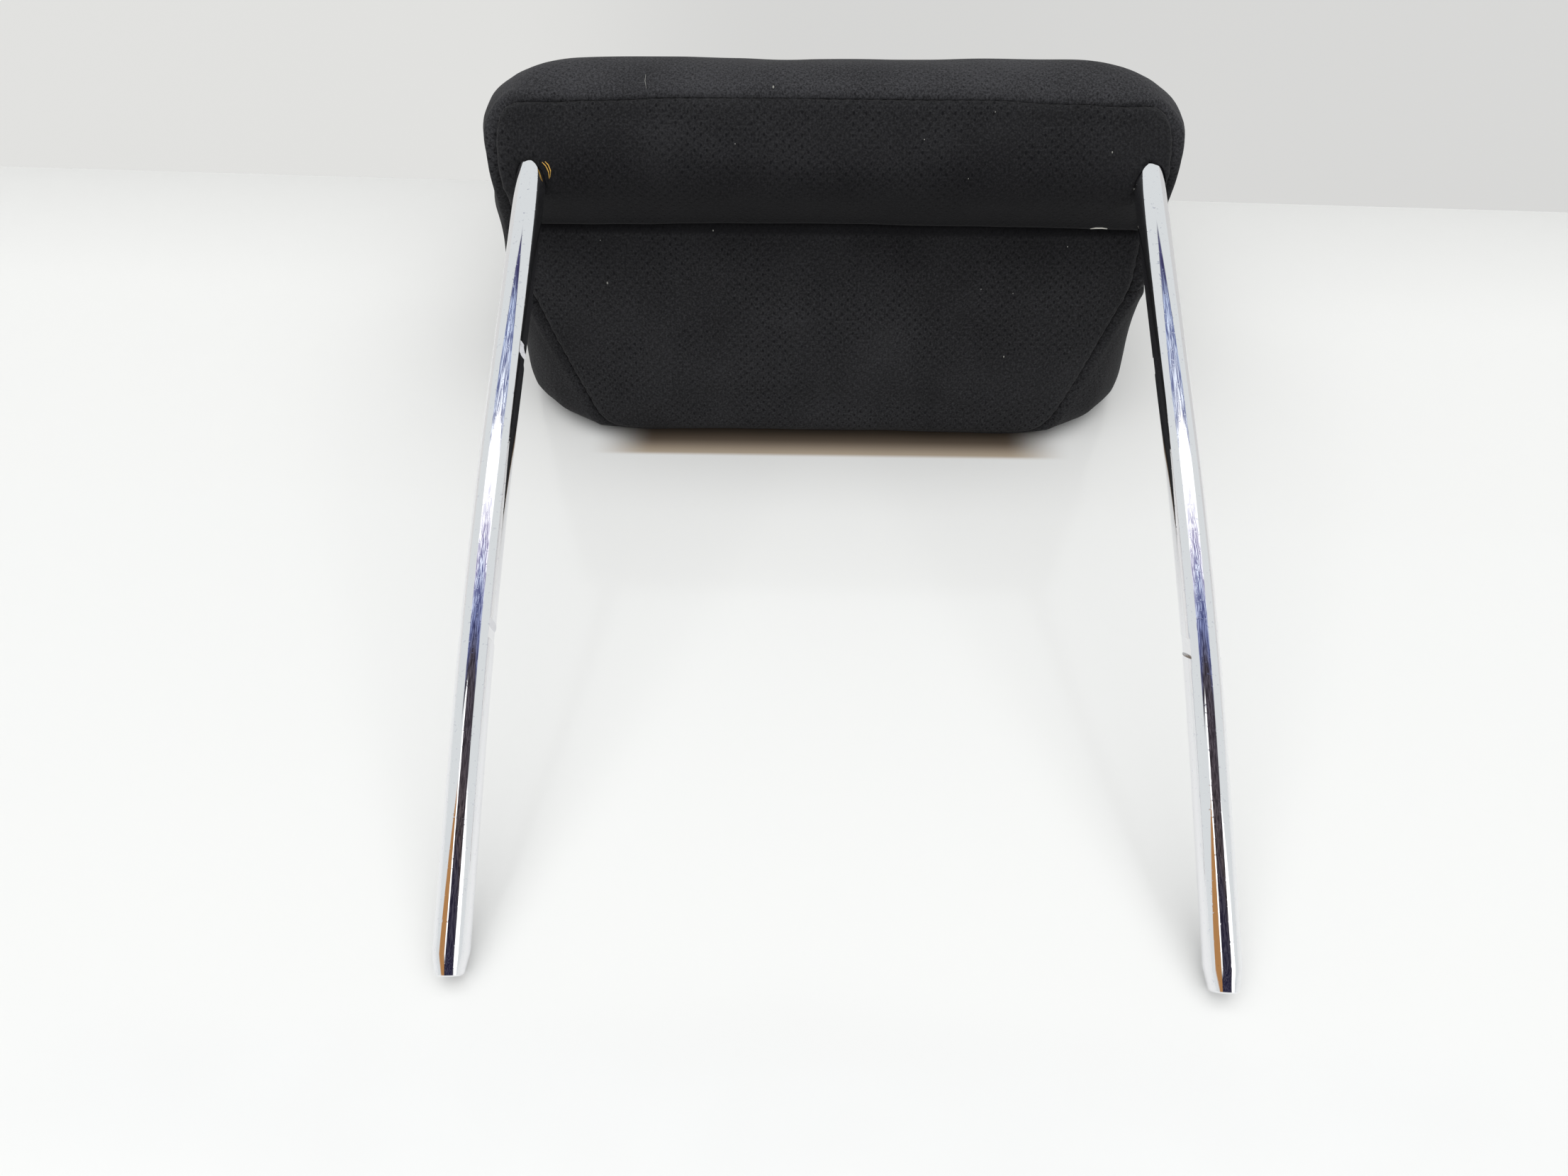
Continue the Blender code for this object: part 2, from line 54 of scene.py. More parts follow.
# Places that the CAD frame gives
mounts = {mount["name"]: mount for mount in frame["record"]["mounts"]}
legX = mounts["right_leg_end"]["pos_m"][0]
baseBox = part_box("cover_base_panel")
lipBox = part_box("cover_lip_panel")
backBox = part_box("cover_back_panel")
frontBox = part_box("cover_front_panel")
frontTop = backBox[1].z


# Small helpers for objects

def deselect():
    if bpy.context.object and bpy.context.object.mode != "OBJECT":
        bpy.ops.object.mode_set(mode="OBJECT")
    for thing in bpy.context.selected_objects:
        thing.select_set(False)


def choose(thing):
    deselect()
    thing.select_set(True)
    bpy.context.view_layer.objects.active = thing


def editAll(thing):
    # opens the object in edit mode with all of it selected
    choose(thing)
    bpy.ops.object.mode_set(mode="EDIT")
    bpy.ops.mesh.select_mode(type="VERT")
    bpy.ops.mesh.select_all(action="SELECT")


def faceOut(thing):
    editAll(thing)
    bpy.ops.mesh.normals_make_consistent(inside=False)
    bpy.ops.object.mode_set(mode="OBJECT")


def shapeOf(thing):
    shape = bmesh.new()
    shape.from_mesh(thing.data)
    return shape


def meshObject(name, shape):
    # makes an object of a bmesh, with its place in the mesh
    mesh = bpy.data.meshes.new(name)
    shape.to_mesh(mesh)
    shape.free()
    thing = bpy.data.objects.new(name, mesh)
    bpy.context.scene.collection.objects.link(thing)
    return thing


def applyAll(thing):
    choose(thing)
    for modifier in list(thing.modifiers):
        bpy.ops.object.modifier_apply(modifier=modifier.name)


def settle(thing):
    # puts the object's place, turn and scale into its mesh
    choose(thing)
    bpy.ops.object.transform_apply(location=True, rotation=True, scale=True)


def finishPiece(piece, material, slot, *nodes):
    piece.data.materials.clear()
    piece.data.materials.append(material)
    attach(piece, "root")
    if nodes:
        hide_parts(*nodes)


# Shader maths: a wrapped socket whose operators add nodes

class Wire:
    def __init__(self, tree, socket=None):
        self.tree = tree
        self.socket = socket

    def node(self, kind, settings=None, sockets=None, output=0):
        made = self.tree.nodes.new(kind)
        for key, value in (settings or {}).items():
            if key == "stops":
                ramp = made.color_ramp
                while len(ramp.elements) < len(value):
                    ramp.elements.new(1)
                for element, (position, color) in zip(ramp.elements, value):
                    element.position = position
                    element.color = (*color, 1) if len(color) == 3 else color
            else:
                setattr(made, key, value)
        for key, value in (sockets or {}).items():
            if isinstance(value, Wire):
                self.tree.links.new(value.socket, made.inputs[key])
            else:
                made.inputs[key].default_value = value
        return Wire(self.tree, made.outputs[output])    # an output's number or name

    def math(self, operation, *values):
        return self.node("ShaderNodeMath", {"operation": operation}, dict(enumerate(values)))

    def __add__(self, other):
        return self.math("ADD", self, other)

    def __radd__(self, other):
        return self.math("ADD", other, self)

    def __sub__(self, other):
        return self.math("SUBTRACT", self, other)

    def __rsub__(self, other):
        return self.math("SUBTRACT", other, self)

    def __mul__(self, other):
        return self.math("MULTIPLY", self, other)

    def __rmul__(self, other):
        return self.math("MULTIPLY", other, self)

    def __truediv__(self, other):
        return self.math("DIVIDE", self, other)

    def over(self, low, high):
        # 0 below low, 1 above high, smooth between
        return self.node("ShaderNodeMapRange", {"interpolation_type": "SMOOTHSTEP"},
                         {"Value": self, "From Min": low, "From Max": high})


def mixColor(factor, first, second):
    first, second = ((*color, 1) if isinstance(color, tuple) else color for color in (first, second))
    return factor.node("ShaderNodeMix", {"data_type": "RGBA"}, {0: factor, 6: first, 7: second}, 2)


def newMaterial(name, constants):
    material = bpy.data.materials.new(name)
    material.use_nodes = True
    tree = material.node_tree
    shader = tree.nodes["Principled BSDF"]
    for key, value in constants.items():
        shader.inputs[key].default_value = value
    return material, Wire(tree), shader


def feed(shader, name, wire):
    shader.id_data.links.new(wire.socket, shader.inputs[name])


def roughen(shader, height, strength, distance):
    feed(shader, "Normal", height.node("ShaderNodeBump", None, {
        "Height": height, "Strength": strength, "Distance": distance}, "Normal"))


def placeOf(wire):
    return wire.node("ShaderNodeTexCoord", None, None, "Object")


def axesOf(vector, *axes):
    return [vector.node("ShaderNodeSeparateXYZ", None, {0: vector}, axis) for axis in axes]


def stretched(vector, scale):
    return vector.node("ShaderNodeMapping", None, {"Vector": vector, "Scale": scale})


def noiseOf(vector, scale, detail=2.0):
    return vector.node("ShaderNodeTexNoise", None, {"Vector": vector, "Scale": scale, "Detail": detail})


def between(value, start, end, before, after):
    # 1 from start to end, with a soft edge before and after them
    return value.over(start - before, start) * (1 - value.over(end, end + after))


def largest(first, second):
    return first.math("MAXIMUM", first, second)


def ramp(value, low, high):
    return min(1, max(0, (value - low) / (high - low)))


# Camera, at the photograph's angle

view = {
    "place": (-0.0108, -0.28706, 0.2797),
    "turn": -1.38,        # to the right of +Y, degrees
    "down": 50.19,
    "roll": -0.16,
    "lens": 23.6,
    "sensor": 36.0,
    "width": 2212,        # of the photograph, in pixels
    "height": 1659,
}


def cameraAxes():
    turn, down, roll = (math.radians(view[key]) for key in ("turn", "down", "roll"))
    ahead = Vector((math.sin(turn) * math.cos(down), math.cos(turn) * math.cos(down), -math.sin(down)))
    right = Vector((math.cos(turn), -math.sin(turn), 0))
    up = right.cross(ahead)
    return math.cos(roll) * right + math.sin(roll) * up, math.cos(roll) * up - math.sin(roll) * right, ahead


def pixelRay(u, v):
    # direction from the camera through a pixel of the photograph
    right, up, ahead = cameraAxes()
    focal = view["lens"] / view["sensor"] * view["width"]
    across, down = (u - view["width"] / 2) / focal, (v - view["height"] / 2) / focal
    return (ahead + right * across - up * down).normalized()


def makeCamera():
    rolledRight, rolledUp, ahead = cameraAxes()
    data = bpy.data.cameras.new("camera")
    data.sensor_width = view["sensor"]
    data.lens = view["lens"]
    data.clip_start = 0.01
    data.clip_end = 50
    camera = bpy.data.objects.new("camera", data)
    bpy.context.scene.collection.objects.link(camera)
    turned = Matrix((rolledRight, rolledUp, -ahead)).transposed()
    camera.matrix_world = Matrix.Translation(view["place"]) @ turned.to_4x4()
    bpy.context.scene.camera = camera


makeCamera()
print("camera made")

# Table, wall and light

stage = {
    "size": 6.0,
    "tableColor": (0.88, 0.885, 0.875),
    "tableRoughness": 0.12,
    "wallColor": (0.70, 0.70, 0.69),
    "wallGlow": ((0.735, 0.735, 0.72), (0.665, 0.665, 0.655)),    # as seen, at the left and the right
    "wallTurn": (-0.16, -0.02),      # x where the left colour turns into the right one
    "wallAt": 0.2168,        # y of the wall's foot at x = 0
    "wallSlope": -0.0377,
    "wallHeight": 0.24,
    "warmColors": ((0.52, 0.43, 0.33), (0.13, 0.10, 0.075)),    # painted shadow, brownish and dark, on the table just under the pad's edge
    "warmFrom": (0.0135, 0.0160),    # y where the band of painted shadow begins
    "warmDeep": 0.0240,              # y where it is darkest
    "warmTo": (0.050, 0.070),        # y where it ends, out of sight under the pad
    "warmHalf": (0.070, 0.097),      # how far it reaches to each side
}
lamps = {
    "overhead": dict(place=(0.0, -0.32, 1.5), size=(3.0, 2.4), power=27, color=(1.0, 0.995, 0.985)),
}
room = {
    "strength": 0.53,
    "white": (0.98, 0.99, 1.0),
    "pale": (0.78, 0.81, 0.81),        # as the chrome mirrors it
    "gain": 1.6,                       # of the two rows of colours below
    # y of the direction, then the darker and the lighter flecks that the chrome mirrors there
    "bands": (
        (-1.00, (0.010, 0.010, 0.030), (0.030, 0.030, 0.060)),
        (-0.62, (0.012, 0.010, 0.020), (0.050, 0.045, 0.060)),
        (-0.56, (0.020, 0.016, 0.018), (0.080, 0.064, 0.066)),
        (-0.29, (0.024, 0.020, 0.026), (0.070, 0.062, 0.080)),
        (-0.22, (0.035, 0.040, 0.110), (0.180, 0.210, 0.380)),
        (-0.15, (0.080, 0.085, 0.210), (0.480, 0.530, 0.660)),
        (-0.08, (0.220, 0.200, 0.320), (0.800, 0.800, 0.860)),
        (-0.01, (0.560, 0.560, 0.640), (1.000, 1.000, 1.000)),
        (0.03, (1.000, 1.000, 1.000), (1.000, 1.000, 1.000)),
        (0.11, (1.000, 1.000, 1.000), (1.000, 1.000, 1.000)),
        (0.14, (0.110, 0.120, 0.220), (0.700, 0.740, 0.800)),
        (0.24, (0.070, 0.085, 0.190), (0.420, 0.490, 0.640)),
        (0.27, (0.028, 0.024, 0.070), (0.070, 0.070, 0.150)),
        (0.32, (0.024, 0.020, 0.060), (0.060, 0.060, 0.130)),
    ),
    "tip": (0.31, 7.0),                # y where the flecked part begins as a point, and how fast it widens
    "tipSoft": 0.06,
    "side": (0.52, 0.60),              # how far to the side it reaches
    "lowest": (0.18, 0.32),            # z above which all this lies
    "grain": (0.22, 1.0, 0.6),
    "grainScale": 58.0,
    "grainEdge": (0.45, 0.58),
    "tan": (0.48, 0.24, 0.09),         # something brown at the left
    "tanX": (0.42, 0.82, 0.03, 0.04),  # from one distance at the left to another, and its soft edges
    "tanY": (-0.465, -0.435),
    "glint": (-0.39, -0.29, 0.02, 0.02),    # the same of x for a bright line beside it, where the dark begins
    "window": (0.56, 0.80, 0.02, 0.04),     # and for a bright strip at the right
    "windowY": (-0.43, -0.39),
    "low": (-0.33, -0.30),             # y below which these lie
    "tipWider": (0.24, -0.76, -0.66),  # the dark reaches further to the sides below this y
}


def lightPath(wire, output):
    return wire.node("ShaderNodeLightPath", None, None, output)


def makeStage():
    deselect()
    bpy.ops.mesh.primitive_grid_add(x_subdivisions=2, y_subdivisions=2, size=stage["size"])
    table = bpy.context.object
    table.name = "table"
    material, wire, shader = newMaterial("glossy white table", {"Roughness": stage["tableRoughness"]})
    x, y = axesOf(placeOf(wire), 0, 1)
    # painted shadow: a brownish dark band tinted into the table under the pad's overhanging edge
    paintedShadow = y.over(*stage["warmFrom"]) * (1 - y.over(*stage["warmTo"]))
    paintedShadow = paintedShadow * (1 - x.math("ABSOLUTE", x).over(*stage["warmHalf"]))
    brown = mixColor(y.over(stage["warmFrom"][0], stage["warmDeep"]), *stage["warmColors"])
    feed(shader, "Base Color", mixColor(paintedShadow, stage["tableColor"], brown))
    table.data.materials.append(material)
    deselect()
    tall = stage["wallHeight"]
    bpy.ops.mesh.primitive_grid_add(x_subdivisions=2, y_subdivisions=2, size=1,
                                    location=(0, stage["wallAt"], tall / 2),
                                    rotation=(math.pi / 2, 0, math.atan(stage["wallSlope"])))
    wall = bpy.context.object
    wall.scale = (stage["size"], tall, 1)
    wall.name = "wall"
    material, wire, shader = newMaterial("pale wall", {"Roughness": 0.7, "Emission Strength": 1.0})
    # seen and mirrored it glows as in the picture, and otherwise it is a plain pale surface
    seen = largest(lightPath(wire, "Is Camera Ray"), lightPath(wire, "Is Glossy Ray"))
    x, = axesOf(placeOf(wire), 0)
    black = (0, 0, 0)
    feed(shader, "Base Color", mixColor(seen, stage["wallColor"], black))
    glow = mixColor(x.over(*stage["wallTurn"]), *stage["wallGlow"])
    feed(shader, "Emission Color", mixColor(seen, black, glow))
    # from behind it can't be seen
    behind = wire.node("ShaderNodeNewGeometry", None, None, "Backfacing")
    painted, clear = Wire(wire.tree, shader.outputs[0]), wire.node("ShaderNodeBsdfTransparent")
    mixed = wire.node("ShaderNodeMixShader", None, {0: behind, 1: painted, 2: clear})
    wire.tree.links.new(mixed.socket, wire.tree.nodes["Material Output"].inputs["Surface"])
    wall.data.materials.append(material)
    settle(table)
    settle(wall)


def makeLamps():
    for name, lamp in lamps.items():
        data = bpy.data.lights.new(name, "AREA")
        data.shape = "RECTANGLE"
        data.size, data.size_y = lamp["size"]
        data.energy = lamp["power"]
        data.color = lamp["color"]
        light = bpy.data.objects.new(name, data)
        bpy.context.scene.collection.objects.link(light)
        light.visible_glossy = False
        light.location = lamp["place"]
        light.rotation_euler = (-Vector(lamp["place"])).to_track_quat("-Z", "Y").to_euler()


def makeWorld():
    # plain white for the light and the camera; what the chrome mirrors lies in bands across its legs
    sky = bpy.data.worlds.new("room")
    bpy.context.scene.world = sky
    sky.use_nodes = True
    wire = Wire(sky.node_tree)
    background = sky.node_tree.nodes["Background"]
    toward = wire.node("ShaderNodeTexCoord", None, None, "Generated")
    x, y, z = axesOf(toward, 0, 1, 2)
    aside = x.math("ABSOLUTE", x)
    wide = aside - (y * -1 + room["tip"][0]) * room["tip"][1]
    reach, *reachY = room["tipWider"]
    nearTip = 1 - y.over(*reachY)
    low = (1 - y.over(*room["low"])) * (1 - nearTip)
    glintX, softX = room["glint"][0], room["glint"][2]

    def shade(color, strength=1.0):
        return tuple(value * strength / room["gain"] for value in color)

    flecked = 1 - (aside - nearTip * reach).over(*room["side"])
    flecked = flecked * (1 - wide.over(-room["tipSoft"], room["tipSoft"])) * z.over(*room["lowest"])
    flecked = flecked * (1 - low * (1 - x.over(glintX, glintX + softX)))
    brown = between(x * -1, *room["tanX"]) * (1 - y.over(*room["tanY"])) * z.over(*room["lowest"])
    window = between(x, *room["window"]) * (1 - y.over(*room["windowY"]))
    bright = largest(between(x, *room["glint"]), window) * low
    grain = noiseOf(stretched(toward, room["grain"]), room["grainScale"], 4.0).over(*room["grainEdge"])
    flecks = []
    for column in (1, 2):
        stops = [((band[0] + 1) / 2, band[column]) for band in room["bands"]]
        flecks.append(wire.node("ShaderNodeValToRGB", {"stops": stops}, {0: (y + 1) * 0.5}))
    mirrored = mixColor(flecked, shade(room["pale"]), mixColor(grain, *flecks))
    mirrored = mixColor(bright, mixColor(brown, mirrored, shade(room["tan"])), (1, 1, 1))
    around = shade(room["white"], room["strength"])
    plain = mixColor(lightPath(wire, "Is Camera Ray"), around, shade((1, 1, 1)))
    feed(background, "Color", mixColor(lightPath(wire, "Is Glossy Ray"), plain, mirrored))
    background.inputs["Strength"].default_value = room["gain"]


makeStage()
makeLamps()
makeWorld()
bpy.context.scene.view_settings.view_transform = "Standard"
print("stage and light made")


# Fabric cover: the outer skin of the CAD panels is remeshed, swelled by simulation and cut at the seams

pad = {
    "panels": ("base", "lip", "back", "front"),
    "skinDepth": 2.0 * mm,        # CAD faces further than this from the foam are the outside
    "seamMerge": 0.45 * mm,
    "voxel": 4.5 * mm,
    "smoothing": 5,
    "inset": 0.4 * mm,
    "pressure": 4.0,
    "frames": 20,
    "cap": 1.5 * mm,              # of the swelling
    "shift": -2.5 * mm,           # the cover sits a little to the left on its bar
    # height, reach and pull inwards, and the power of its growth towards the sides
    "waists": ((0.083, 8 * mm, -2.0 * mm, 5), (0.116, 6 * mm, -3.0 * mm, 5),
               (0.132, 5 * mm, 3.5 * mm, 5)),
    "toeOut": 7.8 * mm,           # the corners beside the lip panel bulge out, most at the table
    "toeReach": 30 * mm,
    "toeFade": (0.050, 0.095),    # y over which this ends
    "crownFrom": 0.100,           # above this the crown comes down, more towards its ends
    "crownDrop": (0.8 * mm, 1.0 * mm),
    "wall": 1.0 * mm,
    "turnIn": 1.1 * mm,           # how far the edges turn in at the seams
    "rim": -0.02 * mm,            # half of the gap between two panels, which overlap a little
    "sleeve": 3.2 * mm,           # how far the edge turns in along a leg
}
seam = {
    "top": baseBox[1].z,
    "half": baseBox[1].x,
    "fold": (baseBox[0].z + lipBox[1].z) / 2,
    "kneeHeight": 0.060,
    "lipHalf": 0.086,
    "lipHeight": lipBox[0].z,
    "topRadius": 9 * mm,
    "arch": (0.5 * mm, 2.4 * mm),     # the top seam's rise in the middle, and its fall from there to its ends
    "foldArch": 2.6 * mm,
    "kneeRadius": 30 * mm,
    "lipRadius": 8 * mm,
    "sideNear": frontBox[1].z,
    "sideFar": backBox[0].z,
    "near": frontBox[0].y,
    "far": frontBox[1].y,
    "undersideDepth": 0.0637,     # the underside lies nearer than this
    "straighten": 10,
    "close": 0.35 * mm,           # corners as near as this to a seam's line are taken as on it
}
legs = {
    "hole": 10.3 * mm,
    "lower": (0.0, 0.881303, 0.472551),
    "upper": (0.0, math.cos(math.radians(20.2)), math.sin(math.radians(20.2))),
    "toBend": 0.110,
    "bendToExit": 0.141,
    "mouth": 25 * mm,             # length of leg round the exit in which the cover is cut
}
legs["exit"] = tuple(Vector(mounts["right_leg_end"]["pos_m"]) + legs["toBend"] * Vector(legs["lower"])
                     + legs["bendToExit"] * Vector(legs["upper"]))
stitch = {
    "pitch": 4.6 * mm,
    "roundDepth": 1.2 * mm,
    "sideDepth": 1.2 * mm,
    "deeper": (0.100, 0.113, 0.9),    # from this x to that x the seam gets deeper and wider by this share
    "width": 0.75 * mm,
    "sharpness": 1.3,
    "foldDepth": 2.2 * mm,
    "foldWidth": 1.5 * mm,
    "foldSharpness": 1.1,
    "foldBulge": 0.35 * mm,       # the upper panel's edge hangs over the fold
    "bulgeAt": 2.4 * mm,
    "rise": 0.32 * mm,            # of the cloth beside a seam
    "riseAt": 3.2 * mm,
    "riseReach": 1.8 * mm,
    "pucker": 0.13,
    "loose": (0.35, 60),          # how unevenly the seams are pulled in, and how finely
    "lumps": ((0.32 * mm, 28), (0.20 * mm, 75)),    # height and fineness of the unevenness of the cloth
    "band": 9 * mm,
    "refine": (9 * mm, 5 * mm),
    "legPush": 1.8 * mm,          # the cloth stands out along each leg
    "legReach": 3.4 * mm,
    "legBand": 25 * mm,
    "gather": (0.25, 7, 90),      # how much, in how many folds, and how differently at the two legs
}


def coverSkin():
    # outer faces of the four CAD panels as one closed mesh
    foam = BVHTree.FromObject(frame["nodes"]["foam_core"], bpy.context.evaluated_depsgraph_get())
    skin = bmesh.new()
    for name in pad["panels"]:
        part = shapeOf(frame["nodes"][f"cover_{name}_panel"])
        bmesh.ops.remove_doubles(part, verts=part.verts, dist=0.01 * mm)
        inner = [face for face in part.faces
                 if min(foam.find_nearest(v.co)[3] for v in face.verts) < pad["skinDepth"]]
        bmesh.ops.delete(part, geom=inner, context="FACES")
        mesh = bpy.data.meshes.new("skin part")
        part.to_mesh(mesh)
        part.free()
        skin.from_mesh(mesh)
        bpy.data.meshes.remove(mesh)
    bmesh.ops.remove_doubles(skin, verts=skin.verts, dist=pad["seamMerge"])
    rims = [edge for edge in skin.edges if edge.is_boundary]
    bmesh.ops.holes_fill(skin, edges=rims, sides=0)
    bmesh.ops.recalc_face_normals(skin, faces=skin.faces)
    return meshObject("cover", skin)


def remeshed(thing, voxel):
    choose(thing)
    thing.data.remesh_voxel_size = voxel
    thing.data.remesh_voxel_adaptivity = 0
    bpy.ops.object.voxel_remesh()
    smooth = thing.modifiers.new("smooth", "SMOOTH")
    smooth.factor = 0.5
    smooth.iterations = pad["smoothing"]
    applyAll(thing)


def swell(thing):
    # pressure pushes the cover out against its cut, and the move is capped
    before = [v.co - v.normal * pad["inset"] for v in thing.data.vertices]
    for v, place in zip(thing.data.vertices, before):
        v.co = place
    cloth = thing.modifiers.new("cloth", "CLOTH")
    cloth.settings.use_pressure = True
    cloth.settings.uniform_pressure_force = pad["pressure"]
    cloth.settings.effector_weights.gravity = 0
    cloth.settings.quality = 6
    scene = bpy.context.scene
    for number in range(1, pad["frames"] + 1):
        scene.frame_set(number)
    evaluated = thing.evaluated_get(bpy.context.evaluated_depsgraph_get())
    swelled = [v.co.copy() for v in evaluated.data.vertices]
    thing.modifiers.remove(cloth)
    scene.frame_set(1)
    for v, low, high in zip(thing.data.vertices, before, swelled):
        move = high - low
        v.co = low + move * min(1, pad["cap"] / max(move.length, 1e-9))


def bell(offset, reach):
    return math.exp(-(offset / reach) ** 2)


def fitSides(thing):
    # moves the stuffed cover over on its bar and pulls its sides in and out by height
    for v in thing.data.vertices:
        share = abs(v.co.x) / seam["half"]
        pull = sum(depth * bell(v.co.z - height, reach) * min(1, share) ** power
                   for height, reach, depth, power in pad["waists"])
        fade = 1 - ramp(v.co.y, *pad["toeFade"])
        pull -= fade * pad["toeOut"] * min(1, share) ** 2 * bell(v.co.z, pad["toeReach"])
        top = max(0, v.co.z - pad["crownFrom"]) / (frontTop - pad["crownFrom"])
        v.co.z -= top * (pad["crownDrop"][0] + pad["crownDrop"][1] * min(1, share ** 3))
        v.co.x += pad["shift"] - pull * math.copysign(1, v.co.x)


def underOutline():
    # front view of the seam round the underside, as a closed line of (x, z) points
    half = [
        (seam["lipHalf"], seam["lipHeight"], seam["lipRadius"]),
        (seam["half"], seam["kneeHeight"], seam["kneeRadius"]),
        (seam["half"], seam["top"], seam["topRadius"]),
    ]
    corners = half + [(-x, z, radius) for x, z, radius in reversed(half)]
    line = []
    for index, (x, z, radius) in enumerate(corners):
        corner = Vector((x, z))
        into = (corner - Vector(corners[index - 1][:2])).normalized()
        out = (Vector(corners[(index + 1) % len(corners)][:2]) - corner).normalized()
        turn = into.angle(out)
        reach = radius * math.tan(turn / 2)
        side = (out - into * into.dot(out)).normalized()
        centre = corner - into * reach + side * radius
        steps = 14
        for step in range(steps + 1):
            angle = turn * step / steps
            line.append(centre - side * radius * math.cos(angle) + into * radius * math.sin(angle))
    return np.array([tuple(point) for point in line])


outline = underOutline()
outlineEnds = np.roll(outline, -1, axis=0)
outlineRuns = np.concatenate([[0], np.cumsum(np.linalg.norm(outlineEnds - outline, axis=1))])


def seamPlace(points):
    # signed distance from the underside's outline, negative inside, and the length along it
    flat = points[:, [0, 2]] - np.array([pad["shift"], 0])
    share = np.clip((flat[:, 1] - seam["fold"]) / (seam["top"] - seam["fold"]), 0, 1)
    flat[:, 1] += share * (seam["arch"][1] * (flat[:, 0] / seam["half"]) ** 2 - seam["arch"][0])
    along = outlineEnds - outline
    length = np.linalg.norm(along, axis=1)
    offset = flat[:, None, :] - outline[None]
    share = np.clip((offset * along).sum(2) / length ** 2, 0, 1)
    gap = np.linalg.norm(offset - share[..., None] * along, axis=2)
    nearest = gap.argmin(1)
    rows = np.arange(len(flat))
    z0, z1 = outline[:, 1], outlineEnds[:, 1]
    height = flat[:, 1][:, None]
    crosses = (z0 > height) != (z1 > height)
    meets = outline[:, 0] + (height - z0) / np.where(z1 == z0, 1, z1 - z0) * along[:, 0]
    inside = ((crosses & (flat[:, 0][:, None] < meets)).sum(1) % 2) == 1
    signed = np.where(inside, -1, 1) * gap[rows, nearest]
    return signed, outlineRuns[nearest] + share[rows, nearest] * length[nearest]


def aboveFold(points):
    return points[:, 2] - seam["fold"] - seam["foldArch"] * (1 - (points[:, 0] / seam["half"]) ** 2)


def sidePlane(points):
    # height above the side seam's sloping plane
    share = (points[:, 1] - seam["near"]) / (seam["far"] - seam["near"])
    return points[:, 2] - seam["sideNear"] - share * (seam["sideFar"] - seam["sideNear"])


def nearLegs(points):
    # distance from the nearer leg's axis, and the length along it from the exit
    exit = np.array(legs["exit"])
    along = np.array(legs["upper"])
    offset = np.stack([np.abs(points[:, 0]) - legX, points[:, 1] - exit[1], points[:, 2] - exit[2]], 1)
    run = offset @ along
    return np.linalg.norm(offset - run[:, None] * along, axis=1), run


def places(shape):
    return np.array([v.co[:] for v in shape.verts])


def underside(points, signed):
    return (signed < 0) & (points[:, 1] < seam["undersideDepth"])


def cutAlong(shape, values, allowed):
    # splits the faces along the zero line of values, a list by corner
    shape.verts.index_update()
    values = np.where(np.abs(values) < seam["close"], 0, values)
    corners = {v for v in shape.verts if values[v.index] == 0 and allowed[v.index]}
    for edge in list(shape.edges):
        a, b = edge.verts
        low, high = values[a.index], values[b.index]
        if low * high < 0 and allowed[a.index] and allowed[b.index]:
            corners.add(bmesh.utils.edge_split(edge, a, low / (low - high))[1])
    for face in list(shape.faces):
        on = [v for v in face.verts if v in corners]
        if len(on) == 2 and not any(set(edge.verts) == set(on) for edge in face.edges):
            bmesh.utils.face_split(face, on[0], on[1])


def cutSeams(shape):
    # the seam round the underside, the fold, the side seam and the two leg holes, in that order
    points = places(shape)
    cutAlong(shape, seamPlace(points)[0], points[:, 1] < seam["undersideDepth"])
    points = places(shape)
    cutAlong(shape, aboveFold(points), underside(points, seamPlace(points)[0] - 1 * mm))
    points = places(shape)
    outside = ~underside(points, seamPlace(points)[0] + 1 * mm)
    cutAlong(shape, sidePlane(points), outside)
    points = places(shape)
    gap, run = nearLegs(points)
    cutAlong(shape, gap - legs["hole"] / 2, np.abs(run) < legs["mouth"])


def labelPanels(shape):
    # numbers each face by its panel, and 4 in the leg holes
    layer = shape.faces.layers.int.new("panel")
    middles = np.array([face.calc_center_median()[:] for face in shape.faces])
    under = underside(middles, seamPlace(middles)[0])
    upper = aboveFold(middles) > 0
    above = sidePlane(middles) > 0
    gap, run = nearLegs(middles)
    for index, face in enumerate(shape.faces):
        if under[index]:
            face[layer] = 0 if upper[index] else 1
        else:
            face[layer] = 2 if above[index] else 3
        if gap[index] < legs["hole"] / 2 and abs(run[index]) < legs["mouth"]:
            face[layer] = 4


def seamEdges(shape):
    # edges between two panels, by kind
    layer = shape.faces.layers.int["panel"]
    found = {"round": [], "fold": [], "side": [], "hole": []}
    for edge in shape.edges:
        low, high = sorted(face[layer] for face in edge.link_faces)
        if low == high:
            continue
        edge.seam = True
        if high == 4:
            kind = "hole"
        elif low > 1:
            kind = "side"
        else:
            kind = "round" if high > 1 else "fold"
        found[kind].append(edge)
    return found


def straighten(shape, found):
    # takes the wobble out of the cut lines, and then out of the cloth beside them
    beside = {}
    for kind in ("round", "fold", "side"):
        for edge in found[kind]:
            a, b = edge.verts
            beside.setdefault(a, set()).add(b)
            beside.setdefault(b, set()).add(a)
    for turn in range(seam["straighten"]):
        moved = {v: (v.co + sum((w.co for w in near), Vector()) / len(near)) / 2
                 for v, near in beside.items() if len(near) == 2}
        for v, place in moved.items():
            v.co = place
    held = set(beside) | {v for edge in found["hole"] for v in edge.verts}
    ring = {w for v in beside for edge in v.link_edges for w in edge.verts}
    ring |= {w for v in ring for edge in v.link_edges for w in edge.verts}
    for turn in range(4):
        bmesh.ops.smooth_vert(shape, verts=list(ring - held), factor=0.5,
                              use_axis_x=True, use_axis_y=True, use_axis_z=True)


def treeOf(points):
    tree = KDTree(len(points))
    for index, point in enumerate(points):
        tree.insert(point, index)
    tree.balance()
    return tree


